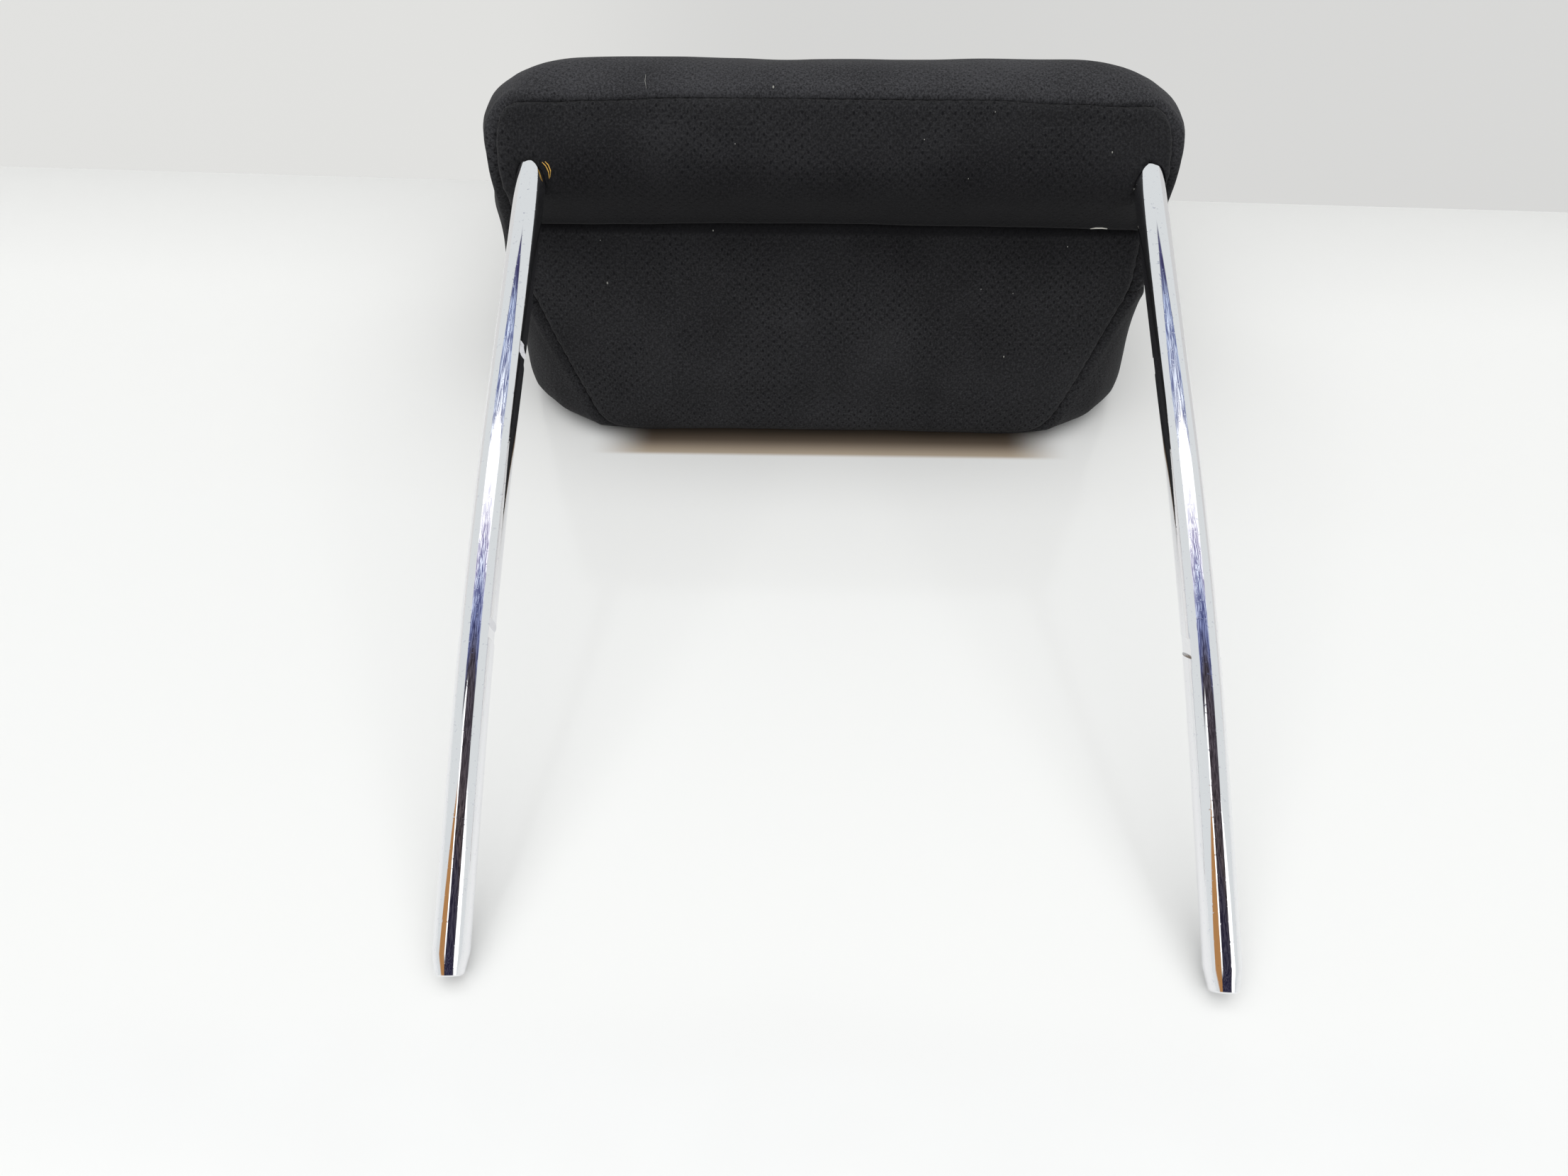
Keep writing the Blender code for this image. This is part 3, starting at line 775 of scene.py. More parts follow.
def strings(edges):
    # puts the edges of a seam in order, as lists of corners
    corner, beside = {}, {}
    for edge in edges:
        for v, w in (edge.verts, tuple(edge.verts)[::-1]):
            corner[v.index] = v
            beside.setdefault(v.index, []).append(w.index)
    used = set()
    found = []
    for start in [v for v in beside if len(beside[v]) != 2] + list(beside):
        for after in beside[start]:
            here, string = start, [corner[start]]
            while after is not None and frozenset((here, after)) not in used:
                used.add(frozenset((here, after)))
                string.append(corner[after])
                onward = [w for w in beside[after] if frozenset((after, w)) not in used]
                here, after = after, onward[0] if onward and len(beside[after]) == 2 else None
            if len(string) > 1:
                found.append(string)
    return found


def seamTree(edges):
    # the seam as dense points in a search tree, with the length along it at each
    points, runs = [], []
    for string in strings(edges):
        run = 0.0
        for v, w in zip(string, string[1:]):
            length = (w.co - v.co).length
            count = max(1, math.ceil(length / (0.3 * mm)))
            points += [v.co.lerp(w.co, step / count) for step in range(count)]
            runs += [run + length * step / count for step in range(count)]
            run += length
    return treeOf(points), runs


def seamTrees(shape, found):
    shape.verts.index_update()
    return {kind: seamTree(found[kind]) for kind in ("round", "fold", "side")}


def layFlat(thing):
    # unwraps every panel, turned with U along X, at its real size in metres
    editAll(thing)
    bpy.ops.uv.unwrap(method="ANGLE_BASED", margin=0.01)
    bpy.ops.object.mode_set(mode="OBJECT")
    mesh = thing.data
    layer = mesh.uv_layers.active
    layer.name = "cloth"
    flat = np.empty(2 * len(mesh.loops))
    layer.data.foreach_get("uv", flat)
    flat = flat.reshape(-1, 2)
    solid = np.array([v.co[:] for v in mesh.vertices])
    numbers = [item.value for item in mesh.attributes["panel"].data]
    for number in range(len(pad["panels"])):
        faces = [face for face in mesh.polygons if numbers[face.index] == number]
        realArea = sum(face.area for face in faces)
        flatArea = 0
        loops, corners = [], []
        for face in faces:
            around = list(face.loop_indices)
            u, v = flat[around].T
            flatArea += abs((u * np.roll(v, -1) - v * np.roll(u, -1)).sum()) / 2
            loops += around
            corners += list(face.vertices)
        u, v = flat[loops].T
        fit = np.linalg.lstsq(np.stack([u, v, np.ones(len(u))], 1), solid[corners, 0], rcond=None)[0]
        turn = fit[:2] / np.linalg.norm(fit[:2]) * math.sqrt(realArea / flatArea)
        flat[loops] = np.stack([u * turn[0] + v * turn[1], v * turn[0] - u * turn[1]], 1)
    layer.data.foreach_set("uv", flat.ravel())


def refine(shape, trees, reach):
    near = {v for v in shape.verts if min(tree.find(v.co)[2] for tree, runs in trees.values()) < reach}
    edges = [edge for edge in shape.edges if edge.verts[0] in near and edge.verts[1] in near]
    bmesh.ops.subdivide_edges(shape, edges=edges, cuts=1, use_grid_fill=True)


def groove(gap, depth, wider):
    ridge = stitch["rise"] * bell(gap - stitch["riseAt"], stitch["riseReach"])
    fall = math.exp(-(gap / stitch["width"] / (1 + wider)) ** stitch["sharpness"])
    return (1 + wider) * (depth * fall - ridge)


def sewSeams(shape, trees):
    # pulls the cover in at its seams, with a pucker at each stitch, and round the legs
    shape.normal_update()
    points = places(shape)
    legGap, legRun = nearLegs(points)
    moves = []
    uneven, fine = stitch["loose"]
    gather, folds, apart = stitch["gather"]
    for index, v in enumerate(shape.verts):
        place = v.co
        depth = push = 0.0
        loose = 1 + uneven * noise.noise(place * fine)
        for kind, (tree, runs) in trees.items():
            spot, number, gap = tree.find(place)
            if kind == "fold" and gap < 2 * stitch["band"]:
                fall = math.exp(-(gap / stitch["foldWidth"]) ** stitch["foldSharpness"])
                depth += stitch["foldDepth"] * fall
                if place.z > spot.z:
                    depth -= stitch["foldBulge"] * bell(gap - stitch["bulgeAt"], stitch["bulgeAt"])
            elif kind != "fold" and gap < stitch["band"]:
                wave = math.cos(2 * math.pi * runs[number] / stitch["pitch"])
                low, high, more = stitch["deeper"]
                more *= ramp(abs(place.x), low, high) if kind == "round" else 0
                depth += groove(gap, stitch[kind + "Depth"] * loose * (1 + stitch["pucker"] * wave), more)
        if legGap[index] < stitch["legBand"] and abs(legRun[index]) < legs["mouth"]:
            edge = max(0, legGap[index] - legs["hole"] / 2)
            turn = math.atan2(place.z - legs["exit"][2], abs(place.x) - legX)
            push = 1 + gather * math.cos(folds * turn + place.x * apart)
            push *= stitch["legPush"] * math.exp(-edge / stitch["legReach"])
        depth += sum(height * noise.noise(place * fineness) for height, fineness in stitch["lumps"])
        moves.append(v.normal * -depth - Vector(legs["upper"]) * push)
    for v, move in zip(shape.verts, moves):
        v.co += move
        v.co.z = max(v.co.z, 0.0)


def cutPanels(thing):
    # cuts, sews and flattens the cover, and gives the places of its stitches
    shape = shapeOf(thing)
    cutSeams(shape)
    labelPanels(shape)
    found = seamEdges(shape)
    straighten(shape, found)
    trees = seamTrees(shape, found)
    shape.to_mesh(thing.data)
    shape.free()
    layFlat(thing)
    print("panels laid flat")
    shape = shapeOf(thing)
    for reach in stitch["refine"]:
        refine(shape, trees, reach)
    found = seamEdges(shape)
    sewSeams(shape, seamTrees(shape, found))
    stitches = []
    for kind in ("round", "side"):
        for string in strings(found[kind]):
            stitches += alongString(string)
    shape.to_mesh(thing.data)
    shape.free()
    return stitches


def alongString(string):
    # a place, a direction and an outward direction for each stitch of a seam
    found = []
    run, due = 0.0, stitch["pitch"] / 2
    for v, w in zip(string, string[1:]):
        length = (w.co - v.co).length
        while run + length >= due:
            found.append((v.co.lerp(w.co, (due - run) / length), (w.co - v.co).normalized(),
                          (v.normal + w.normal).normalized()))
            due += stitch["pitch"]
        run += length
    return found


def takePanel(thing, number, name):
    # one panel as its own closed shell with turned-in edges
    shape = shapeOf(thing)
    layer = shape.faces.layers.int["panel"]
    bmesh.ops.delete(shape, geom=[face for face in shape.faces if face[layer] != number], context="FACES")
    shape.normal_update()
    rim = [edge for edge in shape.edges if edge.is_boundary]
    inward = {}
    for edge in rim:
        middle = (edge.verts[0].co + edge.verts[1].co) / 2
        for v in edge.verts:
            inward.setdefault(v, []).append((edge.link_faces[0].calc_center_median() - middle).normalized())
    for v, directions in inward.items():
        v.co += sum(directions, Vector()).normalized() * pad["rim"]
    order = list(inward)
    normals = [v.normal.copy() for v in order]
    nearest = treeOf([v.co for v in order])
    grown = bmesh.ops.extrude_edge_only(shape, edges=rim)
    for v in (item for item in grown["geom"] if isinstance(item, bmesh.types.BMVert)):
        gap, run = nearLegs(np.array([v.co[:]]))
        if gap[0] < legs["hole"] / 2 + pad["turnIn"] and abs(run[0]) < legs["mouth"]:
            v.co += Vector(legs["upper"]) * pad["sleeve"]
        else:
            v.co -= normals[nearest.find(v.co)[1]] * pad["turnIn"]
    panel = meshObject(name, shape)
    wall = panel.modifiers.new("wall", "SOLIDIFY")
    wall.thickness = pad["wall"]
    wall.offset = -1
    applyAll(panel)
    panel.data.shade_smooth()
    return panel


# Knit cloth, on each panel's own flat pattern in metres

knit = {
    "across": 4.2 * mm,           # one repeat of the pin-dots, which has a dot in its middle too
    "up": 3.5 * mm,
    "dotWidth": 0.62 * mm,
    "dotHeight": 0.95 * mm,
    "dotDepth": 0.85,
    "dotEdge": (0.16, 0.62),
    "wobble": (0.9 * mm, -0.7 * mm),     # how far the rows wander, across and up
    "wobbleScale": 160.0,
    # the dark of the pin-dots, also the colour of the painted shade at the fold
    "dotColor": (0.004, 0.004, 0.005),
    "dotFaint": (420.0, 0.26, 0.50),     # scale and edges of the noise that leaves dots out
    "dotWorn": (45.0, 0.35, 0.60),       # and of the noise that makes them fainter, to
    "dotLeast": 0.4,
    "heatherScale": 1300.0,
    "fuzzScale": 2600.0,
    "wearScale": 38.0,
    "darkYarn": (0.011, 0.011, 0.012),
    "lightYarn": (0.040, 0.040, 0.043),
    "dust": (0.075, 0.075, 0.082),       # partly dustiness, partly painted light: the back panel is lighter towards its top, where it faces up
    "dustAt": (0.098, 0.126),
    "shade": (0.80, 0.36),               # painted shade: the cloth is darker above and below the fold, in the crease
    "shadeReach": (60 * mm, 24 * mm),
    "shadeSoft": 2 * mm,
    "shadeEnd": (0.106, 0.118),          # distance from the middle where this ends
}


def knitMaterial(name, dust):
    material, wire, shader = newMaterial(name, {
        "Roughness": 0.95, "Specular IOR Level": 0.12, "Sheen Weight": 0.05, "Sheen Roughness": 0.5})
    flat = wire.node("ShaderNodeUVMap", {"uv_map": "cloth"})
    solid = placeOf(wire)
    wobble = noiseOf(flat, knit["wobbleScale"]) - 0.5
    u, v = (part + wobble * reach for part, reach in zip(axesOf(flat, 0, 1), knit["wobble"]))

    def fromDot(turns, repeat, size):
        return (turns.math("FRACT", turns) - 0.5) * (repeat / size)

    def dots(shift):
        wide = fromDot(u / knit["across"] + shift, knit["across"], knit["dotWidth"])
        high = fromDot(v / knit["up"] + shift, knit["up"], knit["dotHeight"])
        return 1 - (wide * wide + high * high).over(*knit["dotEdge"])

    filled, worn = (noiseOf(flat, scale).over(low, high)
                    for scale, low, high in (knit["dotFaint"], knit["dotWorn"]))
    dot = largest(dots(0.0), dots(0.5)) * filled * (worn * (1 - knit["dotLeast"]) + knit["dotLeast"])
    heather = noiseOf(flat, knit["heatherScale"], 3.0)
    fuzz = noiseOf(solid, knit["fuzzScale"], 1.0)
    wear = noiseOf(solid, knit["wearScale"], 3.0)
    turn = u * (4 * math.pi / knit["across"])
    rib = turn.math("COSINE", turn)
    level = heather * 0.60 + fuzz * 0.36 + rib * 0.02 + (wear - 0.5) * 0.22
    yarn = mixColor(level.over(0.32, 0.74), knit["darkYarn"], knit["lightYarn"])
    x, z = axesOf(solid, 0, 2)
    # painted shade round the fold: the yarn is darkened above and below the crease
    fromFold = z - seam["fold"]
    upper = fromFold.over(-knit["shadeSoft"], 0.0)
    above = 1 - fromFold.over(0.0, knit["shadeReach"][0])
    below = 1 - (fromFold * -1).over(0.0, knit["shadeReach"][1])
    foldShade = above * knit["shade"][0] * upper + below * knit["shade"][1] * (1 - upper)
    foldShade = foldShade * (1 - x.math("ABSOLUTE", x).over(*knit["shadeEnd"]))
    yarn = mixColor(foldShade, yarn, knit["dotColor"])
    # painted light with some dustiness: the back panel's upward top is made lighter and its dots fainter
    dustyAndPaintedLight = z.over(*knit["dustAt"]) * dust
    yarn = mixColor(dustyAndPaintedLight * (level.over(0.30, 0.70) * 0.5 + 0.12), yarn, knit["dust"])
    feed(shader, "Base Color", mixColor(dot * (knit["dotDepth"] - dustyAndPaintedLight * 0.35), yarn, knit["dotColor"]))
    roughen(shader, heather * 0.6 + fuzz * 0.5 + rib * 0.05 - dot * 0.4, 0.55, 0.25 * mm)
    return material


# Steel bar: one leg and half of the hidden run are grown ring by ring, then mirrored

bar = {
    "diameter": 10.0 * mm,
    "sides": 48,
    "rimDiameter": 6.9 * mm,
    "tipDiameter": 7.8 * mm,
    "rimLength": 0.45 * mm,
    "taper": 6.0 * mm,
    "tilt": 28.2,                 # of the leg's lower run, degrees above the table
    "bend": 8.0,
    "bendRadius": 0.730,
    "exitToKnee": 0.018,
    "kneeBend": 50.0,
    "kneeRadius": 0.025,
    "kneeToCrossbar": 0.077,
    "crossbarRadius": 0.020,
    "notches": ((0.181, (-1,)), (0.092, (-1, 1))),    # distance from the tip, and the sides cut
    "notchLength": 5.0 * mm,
    "notchDepth": 1.0 * mm,
    "notchSkew": 28.0,
    "steps": (24, 14, 16),        # of the bend, the knee and the corner to the crossbar
    "smoothBelow": 22.0,
    "colors": ((0.86, 0.86, 0.88), (0.56, 0.56, 0.66)),    # clean, and in its specks
    "roughness": (0.018, 0.04, 0.10),                      # least, more in the haze, more in the specks
    "scratched": (1.0, 0.06, 0.06),                        # the scratches run along the legs
    "scales": (2600.0, 140.0, 900.0),                      # of scratches, haze and specks
}


def chromeMaterial():
    material, wire, shader = newMaterial("bright chrome", {"Metallic": 1.0})
    solid = placeOf(wire)
    scratchScale, hazeScale, speckScale = bar["scales"]
    least, hazy, specked = bar["roughness"]
    scratch = noiseOf(stretched(solid, bar["scratched"]), scratchScale, 3.0)
    haze = noiseOf(solid, hazeScale, 4.0).over(0.40, 0.75)
    speck = noiseOf(solid, speckScale).over(0.62, 0.74)
    feed(shader, "Base Color", mixColor(speck * 0.35, *bar["colors"]))
    feed(shader, "Roughness", haze * hazy + least + speck * specked)
    roughen(shader, scratch * 0.6 + speck, 0.10, 0.05 * mm)
    return material


def slope(angle):
    return Vector((0, math.cos(math.radians(angle)), math.sin(math.radians(angle))))


def extrudeTo(start, end, scale=1.0):
    bpy.ops.mesh.extrude_region_move(TRANSFORM_OT_translate={"value": end - start})
    if scale != 1.0:
        bpy.ops.transform.resize(value=(scale, scale, scale), center_override=end)
    return end


def spinBend(start, into, out, radius, steps):
    # turns the ring of corners along an arc from one direction to the other; spin turns left-handed
    axis = into.cross(out).normalized()
    centre = start + axis.cross(into) * radius
    turn = into.angle(out)
    bpy.ops.mesh.spin(steps=steps, angle=-turn, center=centre, axis=axis)
    return centre + Matrix.Rotation(turn, 3, axis) @ (start - centre)


def growBar(name, extra, tapered):
    tip = Vector(mounts["right_leg_end"]["pos_m"])
    radius = bar["diameter"] / 2 + extra
    first = bar["rimDiameter"] / 2 if tapered else radius
    lower, upper = slope(bar["tilt"]), slope(bar["tilt"] - bar["bend"])
    inner = slope(bar["tilt"] - bar["bend"] - bar["kneeBend"])
    across = Vector((-1, 0, 0))
    bendSteps, kneeSteps, cornerSteps = bar["steps"]
    deselect()
    bpy.ops.mesh.primitive_circle_add(vertices=bar["sides"], radius=first, fill_type="NOTHING",
                                      location=tip, rotation=(math.radians(bar["tilt"] - 90), 0, 0))
    grown = bpy.context.object
    grown.name = name
    settle(grown)
    editAll(grown)
    place = tip
    if tapered:
        place = extrudeTo(place, tip + bar["rimLength"] * lower, bar["tipDiameter"] / bar["rimDiameter"])
        place = extrudeTo(place, tip + bar["taper"] * lower, bar["diameter"] / bar["tipDiameter"])
    bendReach = bar["bendRadius"] * math.tan(math.radians(bar["bend"]) / 2)
    kneeReach = bar["kneeRadius"] * math.tan(math.radians(bar["kneeBend"]) / 2)
    place = extrudeTo(place, tip + (legs["toBend"] - bendReach) * lower)
    place = spinBend(place, lower, upper, bar["bendRadius"], bendSteps)
    straight = legs["bendToExit"] + bar["exitToKnee"] - bendReach - kneeReach
    place = extrudeTo(place, place + straight * upper)
    place = spinBend(place, upper, inner, bar["kneeRadius"], kneeSteps)
    place = extrudeTo(place, place + (bar["kneeToCrossbar"] - kneeReach - bar["crossbarRadius"]) * inner)
    place = spinBend(place, inner, across, bar["crossbarRadius"], cornerSteps)
    extrudeTo(place, Vector((0, place.y, place.z)))
    bpy.ops.mesh.select_all(action="DESELECT")
    bpy.ops.object.mode_set(mode="OBJECT")
    for v in list(grown.data.vertices)[:bar["sides"]]:
        v.select = True
    bpy.ops.object.mode_set(mode="EDIT")
    bpy.ops.mesh.edge_face_add()
    bpy.ops.object.mode_set(mode="OBJECT")
    mirror = grown.modifiers.new("other leg", "MIRROR")
    mirror.merge_threshold = 0.05 * mm
    applyAll(grown)
    faceOut(grown)
    return grown


def legPlace(distance):
    # point on the right leg's axis at a distance from its tip, and the slope there
    tip = Vector(mounts["right_leg_end"]["pos_m"])
    bend = math.radians(bar["bend"])
    reach = bar["bendRadius"] * math.tan(bend / 2)
    start = legs["toBend"] - reach
    turned = min(bend, max(0, (distance - start) / bar["bendRadius"]))
    chord = 2 * bar["bendRadius"] * math.sin(turned / 2)
    place = tip + min(distance, start) * slope(bar["tilt"])
    place += chord * slope(bar["tilt"] - math.degrees(turned) / 2)
    place += max(0, distance - start - bend * bar["bendRadius"]) * slope(bar["tilt"] - bar["bend"])
    return place, bar["tilt"] - math.degrees(turned)


def notchCutter():
    # slabs that mill the skewed flats across the sides of both legs
    width = 2 * bar["diameter"]
    reach = bar["diameter"] / 2 - bar["notchDepth"] + width / 2
    slabs = []
    for distance, sides in bar["notches"]:
        for leg in (-1, 1):
            for side in sides:
                place, angle = legPlace(distance)
                place.x = leg * (legX + side * reach)
                deselect()
                turn = math.radians(angle + leg * bar["notchSkew"])
                bpy.ops.mesh.primitive_cube_add(size=1, location=place, rotation=(turn, 0, 0))
                slab = bpy.context.object
                slab.scale = (width, bar["notchLength"], width)
                settle(slab)
                slabs.append(slab)
    deselect()
    for slab in slabs:
        slab.select_set(True)
    bpy.context.view_layer.objects.active = slabs[0]
    bpy.ops.object.join()
    return bpy.context.object


def cut(piece, cutter):
    difference = piece.modifiers.new("cut", "BOOLEAN")
    difference.operation = "DIFFERENCE"
    difference.solver = "EXACT"
    difference.object = cutter
    applyAll(piece)
    bpy.data.objects.remove(cutter)


def makeBar(material):
    piece = growBar("chromed_bar", 0.0, True)
    cut(piece, notchCutter())
    choose(piece)
    bpy.ops.object.shade_smooth_by_angle(angle=math.radians(bar["smoothBelow"]))
    finishPiece(piece, material, "chrome", "post_frame")
    print("bar", len(piece.data.polygons), "faces")


# Foam: the stuffed form, smaller by the cover, moulded round the bar and open for the closure strips

filling = {
    "gap": 4.4 * mm,              # from the cover's outside to the foam
    "play": 0.3 * mm,
    "pocketDepth": 9.5 * mm,      # past the strips' near edge
    "pocketNear": 20 * mm,        # before it
    "pocketLow": -16.5 * mm,
    "pocketHigh": 13.0 * mm,
    "pocketReach": 3.0 * mm,      # past the legs' axes
    "colors": ((0.66, 0.36, 0.06), (0.78, 0.52, 0.16)),
    "stainScale": 90.0,
    "cellScale": 1300.0,
}


def foamMaterial():
    material, wire, shader = newMaterial("yellowed foam", {"Roughness": 0.95, "Specular IOR Level": 0.2})
    solid = placeOf(wire)
    cells = wire.node("ShaderNodeTexVoronoi", None, {"Vector": solid, "Scale": filling["cellScale"]})
    feed(shader, "Base Color", mixColor(noiseOf(solid, filling["stainScale"], 3.0), *filling["colors"]))
    roughen(shader, cells, 0.7, 0.4 * mm)
    return material


def makeFoam(source, material):
    core = bpy.data.objects.new("foam_pad", source.data.copy())
    bpy.context.scene.collection.objects.link(core)
    places = [v.co - v.normal * filling["gap"] for v in core.data.vertices]
    for v, place in zip(core.data.vertices, places):
        v.co = place
    cut(core, growBar("channel", filling["play"], False))
    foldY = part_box("closure_upper_strip")[0].y
    low, high = seam["fold"] + filling["pocketLow"], seam["fold"] + filling["pocketHigh"]
    deselect()
    near = foldY - filling["pocketNear"]
    far = foldY + filling["pocketDepth"]
    bpy.ops.mesh.primitive_cube_add(size=1, location=(0, (near + far) / 2, (low + high) / 2))
    pocket = bpy.context.object
    pocket.scale = (2 * (legX + filling["pocketReach"]), far - near, high - low)
    settle(pocket)
    cut(core, pocket)
    core.data.shade_smooth()
    finishPiece(core, material, "foam", "foam_core")
    print("foam", len(core.data.polygons), "faces")


# Closure strips, carried over from the CAD frame

strips = {
    "names": ("closure_upper_strip", "closure_lower_strip"),
    "colors": ((0.60, 0.59, 0.53), (0.76, 0.75, 0.68)),
    "drawn": (0.03, 1.0, 1.0),    # the fine lines run along X
    "lineScale": 2200.0,
    "cloudScale": 120.0,
}


def stripMaterial():
    material, wire, shader = newMaterial("natural plastic", {"Specular IOR Level": 0.5})
    solid = placeOf(wire)
    line = noiseOf(stretched(solid, strips["drawn"]), strips["lineScale"])
    feed(shader, "Base Color", mixColor(noiseOf(solid, strips["cloudScale"], 3.0), *strips["colors"]))
    feed(shader, "Roughness", line * 0.25 + 0.35)
    roughen(shader, line, 0.4, 0.1 * mm)
    return material


def paintStrips(material):
    for name in strips["names"]:
        strip = frame["nodes"][name].data
        strip.materials.clear()
        strip.materials.append(material)


# Sewing thread: one stitch is modelled once and copied along the seams

thread = {
    "length": 3.1 * mm,
    "thickness": 0.42 * mm,
    "lift": -0.30 * mm,           # from the bottom of the groove
    "colors": ((0.010, 0.010, 0.011), (0.022, 0.022, 0.024)),
    "twistScale": 1500.0,
}


def oneStitch():
    deselect()
    bpy.ops.mesh.primitive_cylinder_add(vertices=8, radius=thread["thickness"] / 2, depth=thread["length"],
                                        rotation=(0, math.pi / 2, 0))
    one = bpy.context.object
    settle(one)
    bpy.ops.object.mode_set(mode="EDIT")
    bpy.ops.mesh.select_all(action="DESELECT")
    bpy.ops.object.mode_set(mode="OBJECT")
    for face in one.data.polygons:
        face.select = abs(face.normal.x) > 0.9
    bpy.ops.object.mode_set(mode="EDIT")
    bpy.ops.mesh.select_mode(type="FACE")
    bpy.ops.mesh.inset(thickness=thread["thickness"] * 0.2, depth=thread["thickness"] * 0.25)
    bpy.ops.object.mode_set(mode="OBJECT")
    return one


def makeThread(stitches):
    one = oneStitch()
    shape = bmesh.new()
    for place, along, out in stitches:
        side = out.cross(along).normalized()
        turned = Matrix((along, side, along.cross(side))).transposed().to_4x4()
        copy = one.data.copy()
        copy.transform(Matrix.Translation(place + out * thread["lift"]) @ turned)
        shape.from_mesh(copy)
        bpy.data.meshes.remove(copy)
    bpy.data.objects.remove(one)
    piece = meshObject("seam_thread", shape)
    piece.data.shade_smooth()
    material, wire, shader = newMaterial("dark sewing thread", {
        "Roughness": 0.8, "Specular IOR Level": 0.2})
    twist = wire.node("ShaderNodeTexWave", None, {
        "Vector": placeOf(wire), "Scale": thread["twistScale"], "Distortion": 2.0}, "Fac")
    feed(shader, "Base Color", mixColor(twist, *thread["colors"]))
    roughen(shader, twist, 0.5, 0.1 * mm)
    finishPiece(piece, material, "cloth")
    print("thread", len(stitches), "stitches")


# Loose bits on the cloth, each at the pixel where the photograph shows it: u, v and size

bits = {
    "specks": ((857, 399, 0.75 * mm), (1006, 325, 0.55 * mm), (847, 339, 0.35 * mm),
               (1037, 203, 0.35 * mm), (1091, 123, 0.80 * mm), (1569, 215, 0.55 * mm),
               (1366, 252, 0.35 * mm), (1506, 348, 0.45 * mm), (1304, 197, 0.40 * mm),
               (1404, 158, 0.40 * mm), (1416, 503, 0.60 * mm), (1384, 408, 0.35 * mm),
               (1429, 414, 0.35 * mm)),
    "hairs": (((911, 106), (910, 115), (912, 125)), ((1603, 254), (1599, 266), (1602, 280)),
              ((1596, 258), (1604, 269), (1598, 283)), ((1609, 292), (1606, 301), (1608, 311))),
    "hairThickness": 0.18 * mm,
    "foamScraps": (((765, 229), (770, 234), (774, 242), (775, 252)),
                   ((769, 228), (774, 233), (777, 241), (776, 250))),
    "foamThickness": 0.38 * mm,
    "foamLift": 0.6,              # of its thickness
    "stripEdge": ((1538, 322.5), (1546, 321.5), (1555, 321.5), (1562, 322.5)),
    "stripThickness": 0.7 * mm,
    "speckShape": (0.8, 1.25, 0.6),
    "colors": ((0.16, 0.16, 0.14), (0.42, 0.42, 0.40)),
    "lift": 0.25 * mm,
    "sides": 6,
}


def treeOfPieces(pieces):
    shape = bmesh.new()
    for piece in pieces:
        shape.from_mesh(piece.data)
    tree = BVHTree.FromBMesh(shape)
    shape.free()
    return tree


def onCloth(tree, u, v, lift):
    place, normal = tree.ray_cast(Vector(view["place"]), pixelRay(u, v))[:2]
    return place + normal * lift, normal


def growStrand(places, thickness):
    # a thin closed tube through the places, thinner at its ends
    along = places[1] - places[0]
    deselect()
    bpy.ops.mesh.primitive_circle_add(vertices=bits["sides"], radius=thickness * 0.3, fill_type="NGON",
                                      location=places[0], rotation=along.to_track_quat("Z", "Y").to_euler())
    strand = bpy.context.object
    settle(strand)
    editAll(strand)
    for number, (start, end) in enumerate(zip(places, places[1:])):
        scale = 1.67 if number == 0 else 0.6 if number == len(places) - 2 else 1.0
        extrudeTo(start, end, scale)
    bpy.ops.object.mode_set(mode="OBJECT")
    faceOut(strand)
    return strand


def joined(parts, name):
    deselect()
    for part in parts:
        part.select_set(True)
    bpy.context.view_layer.objects.active = parts[0]
    if len(parts) > 1:
        bpy.ops.object.join()
    piece = bpy.context.object
    piece.name = piece.data.name = name
    settle(piece)
    piece.data.shade_smooth()
    return piece


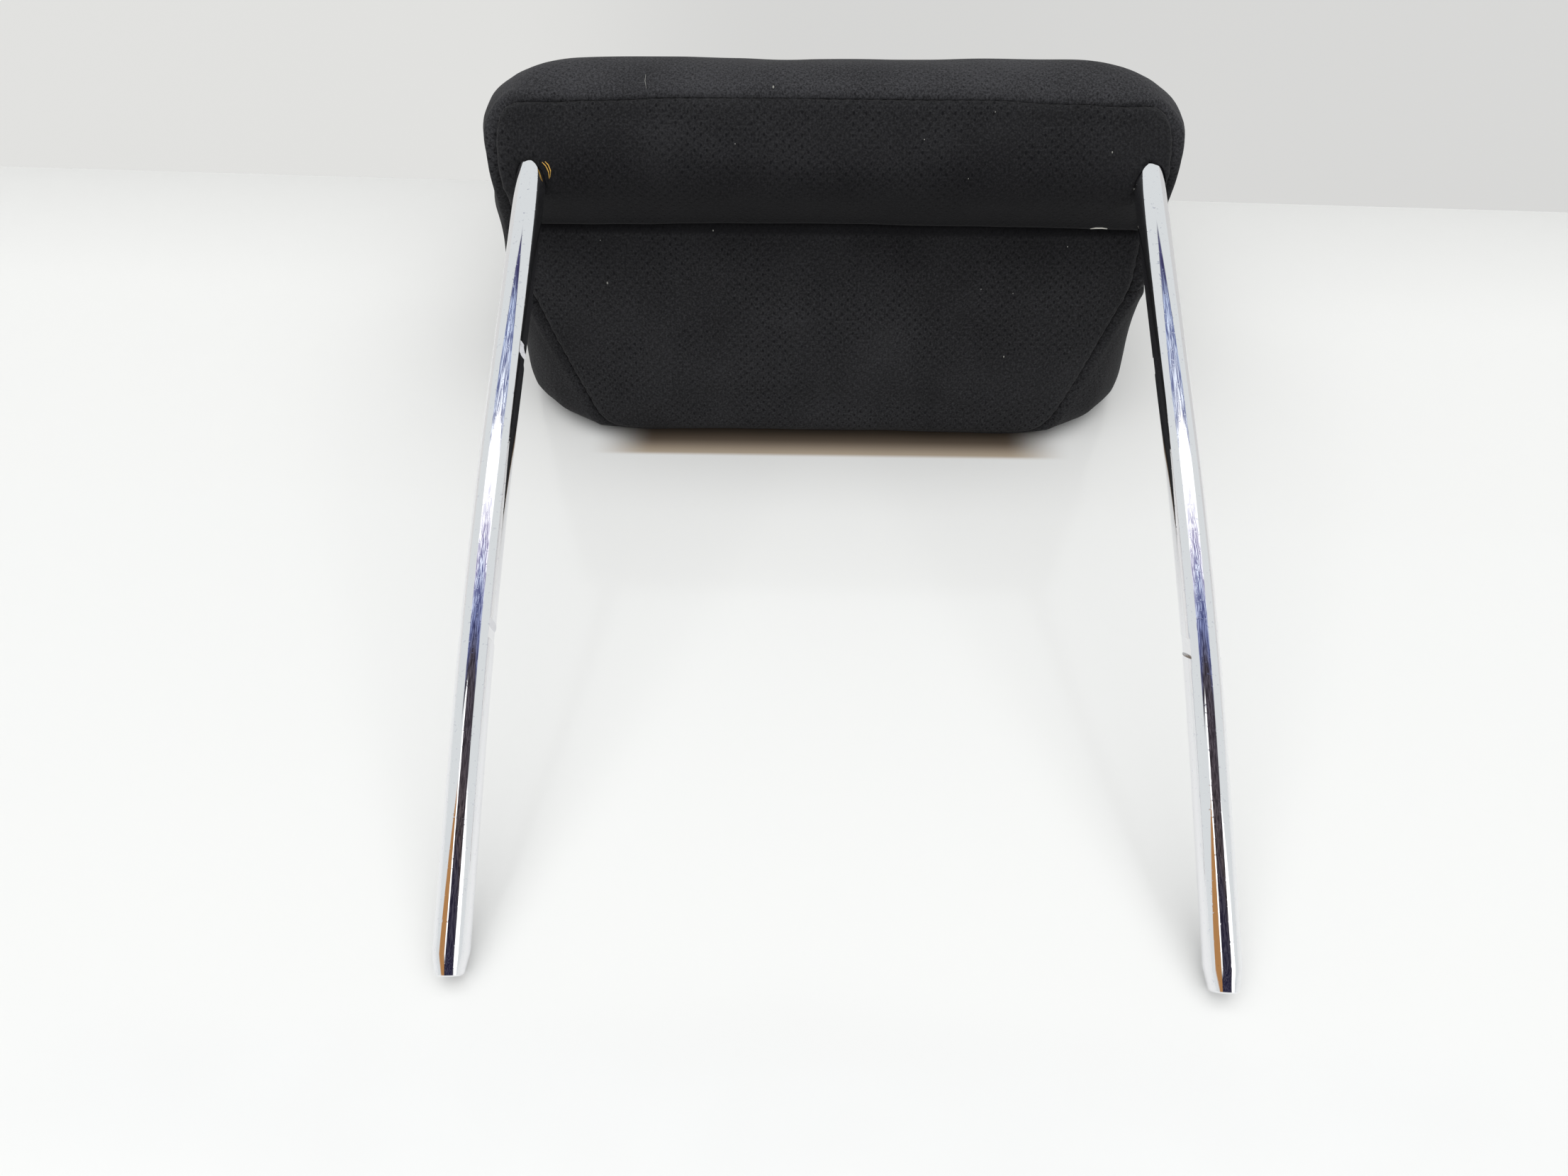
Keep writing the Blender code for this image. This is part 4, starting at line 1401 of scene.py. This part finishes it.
def lintMaterial():
    material, wire, shader = newMaterial("pale lint", {"Roughness": 0.9, "Specular IOR Level": 0.2})
    solid = placeOf(wire)
    feed(shader, "Base Color", mixColor(noiseOf(solid, 300.0), *bits["colors"]))
    roughen(shader, noiseOf(solid, 4000.0), 0.5, 0.1 * mm)
    return material


def makeBits(panels, foam, plastic):
    tree = treeOfPieces(panels)
    parts = []
    for u, v, size in bits["specks"]:
        place, normal = onCloth(tree, u, v, size * 0.2)
        deselect()
        bpy.ops.mesh.primitive_ico_sphere_add(subdivisions=2, radius=size / 2, location=place,
                                              rotation=normal.to_track_quat("Z", "Y").to_euler())
        speck = bpy.context.object
        speck.scale = bits["speckShape"]
        parts.append(speck)
        settle(speck)

    def strandOn(pixels, thickness, lift):
        return growStrand([onCloth(tree, u, v, lift)[0] for u, v in pixels], thickness)

    parts += [strandOn(pixels, bits["hairThickness"], bits["lift"]) for pixels in bits["hairs"]]
    finishPiece(joined(parts, "lint"), lintMaterial(), "cloth")
    thick = bits["foamThickness"]
    scraps = [strandOn(pixels, thick, thick * bits["foamLift"]) for pixels in bits["foamScraps"]]
    finishPiece(joined(scraps, "foam_scrap"), foam, "foam")
    edge = strandOn(bits["stripEdge"], bits["stripThickness"], 0)
    finishPiece(joined([edge], "strip_edge"), plastic, "strip")
    print("loose bits made")


# Making of the pieces: the cover first, then all that is cut from it, set in it or lies on it

cover = coverSkin()
remeshed(cover, pad["voxel"])
swell(cover)
fitSides(cover)
print("cover swelled", len(cover.data.vertices), "corners")
foam = foamMaterial()
makeFoam(cover, foam)
subdivision = cover.modifiers.new("subdivision", "SUBSURF")
subdivision.levels = subdivision.render_levels = 1
applyAll(cover)
stitches = cutPanels(cover)
print("seams sewn", len(cover.data.vertices), "corners")
plainCloth = knitMaterial("charcoal knit", 0.0)
# the back panel's knit carries painted light on its upward top
dustyAndPaintedLightCloth = knitMaterial("charcoal knit, dusty", 1.0)
panels = []
for number, name in enumerate(pad["panels"]):
    panel = takePanel(cover, number, name + "_panel")
    finishPiece(panel, dustyAndPaintedLightCloth if name == "back" else plainCloth, "cloth", f"cover_{name}_panel")
    panels.append(panel)
    print(name, "panel", len(panel.data.polygons), "faces")
bpy.data.objects.remove(cover)
makeThread(stitches)
makeBar(chromeMaterial())
plastic = stripMaterial()
paintStrips(plastic)
makeBits(panels, foam, plastic)
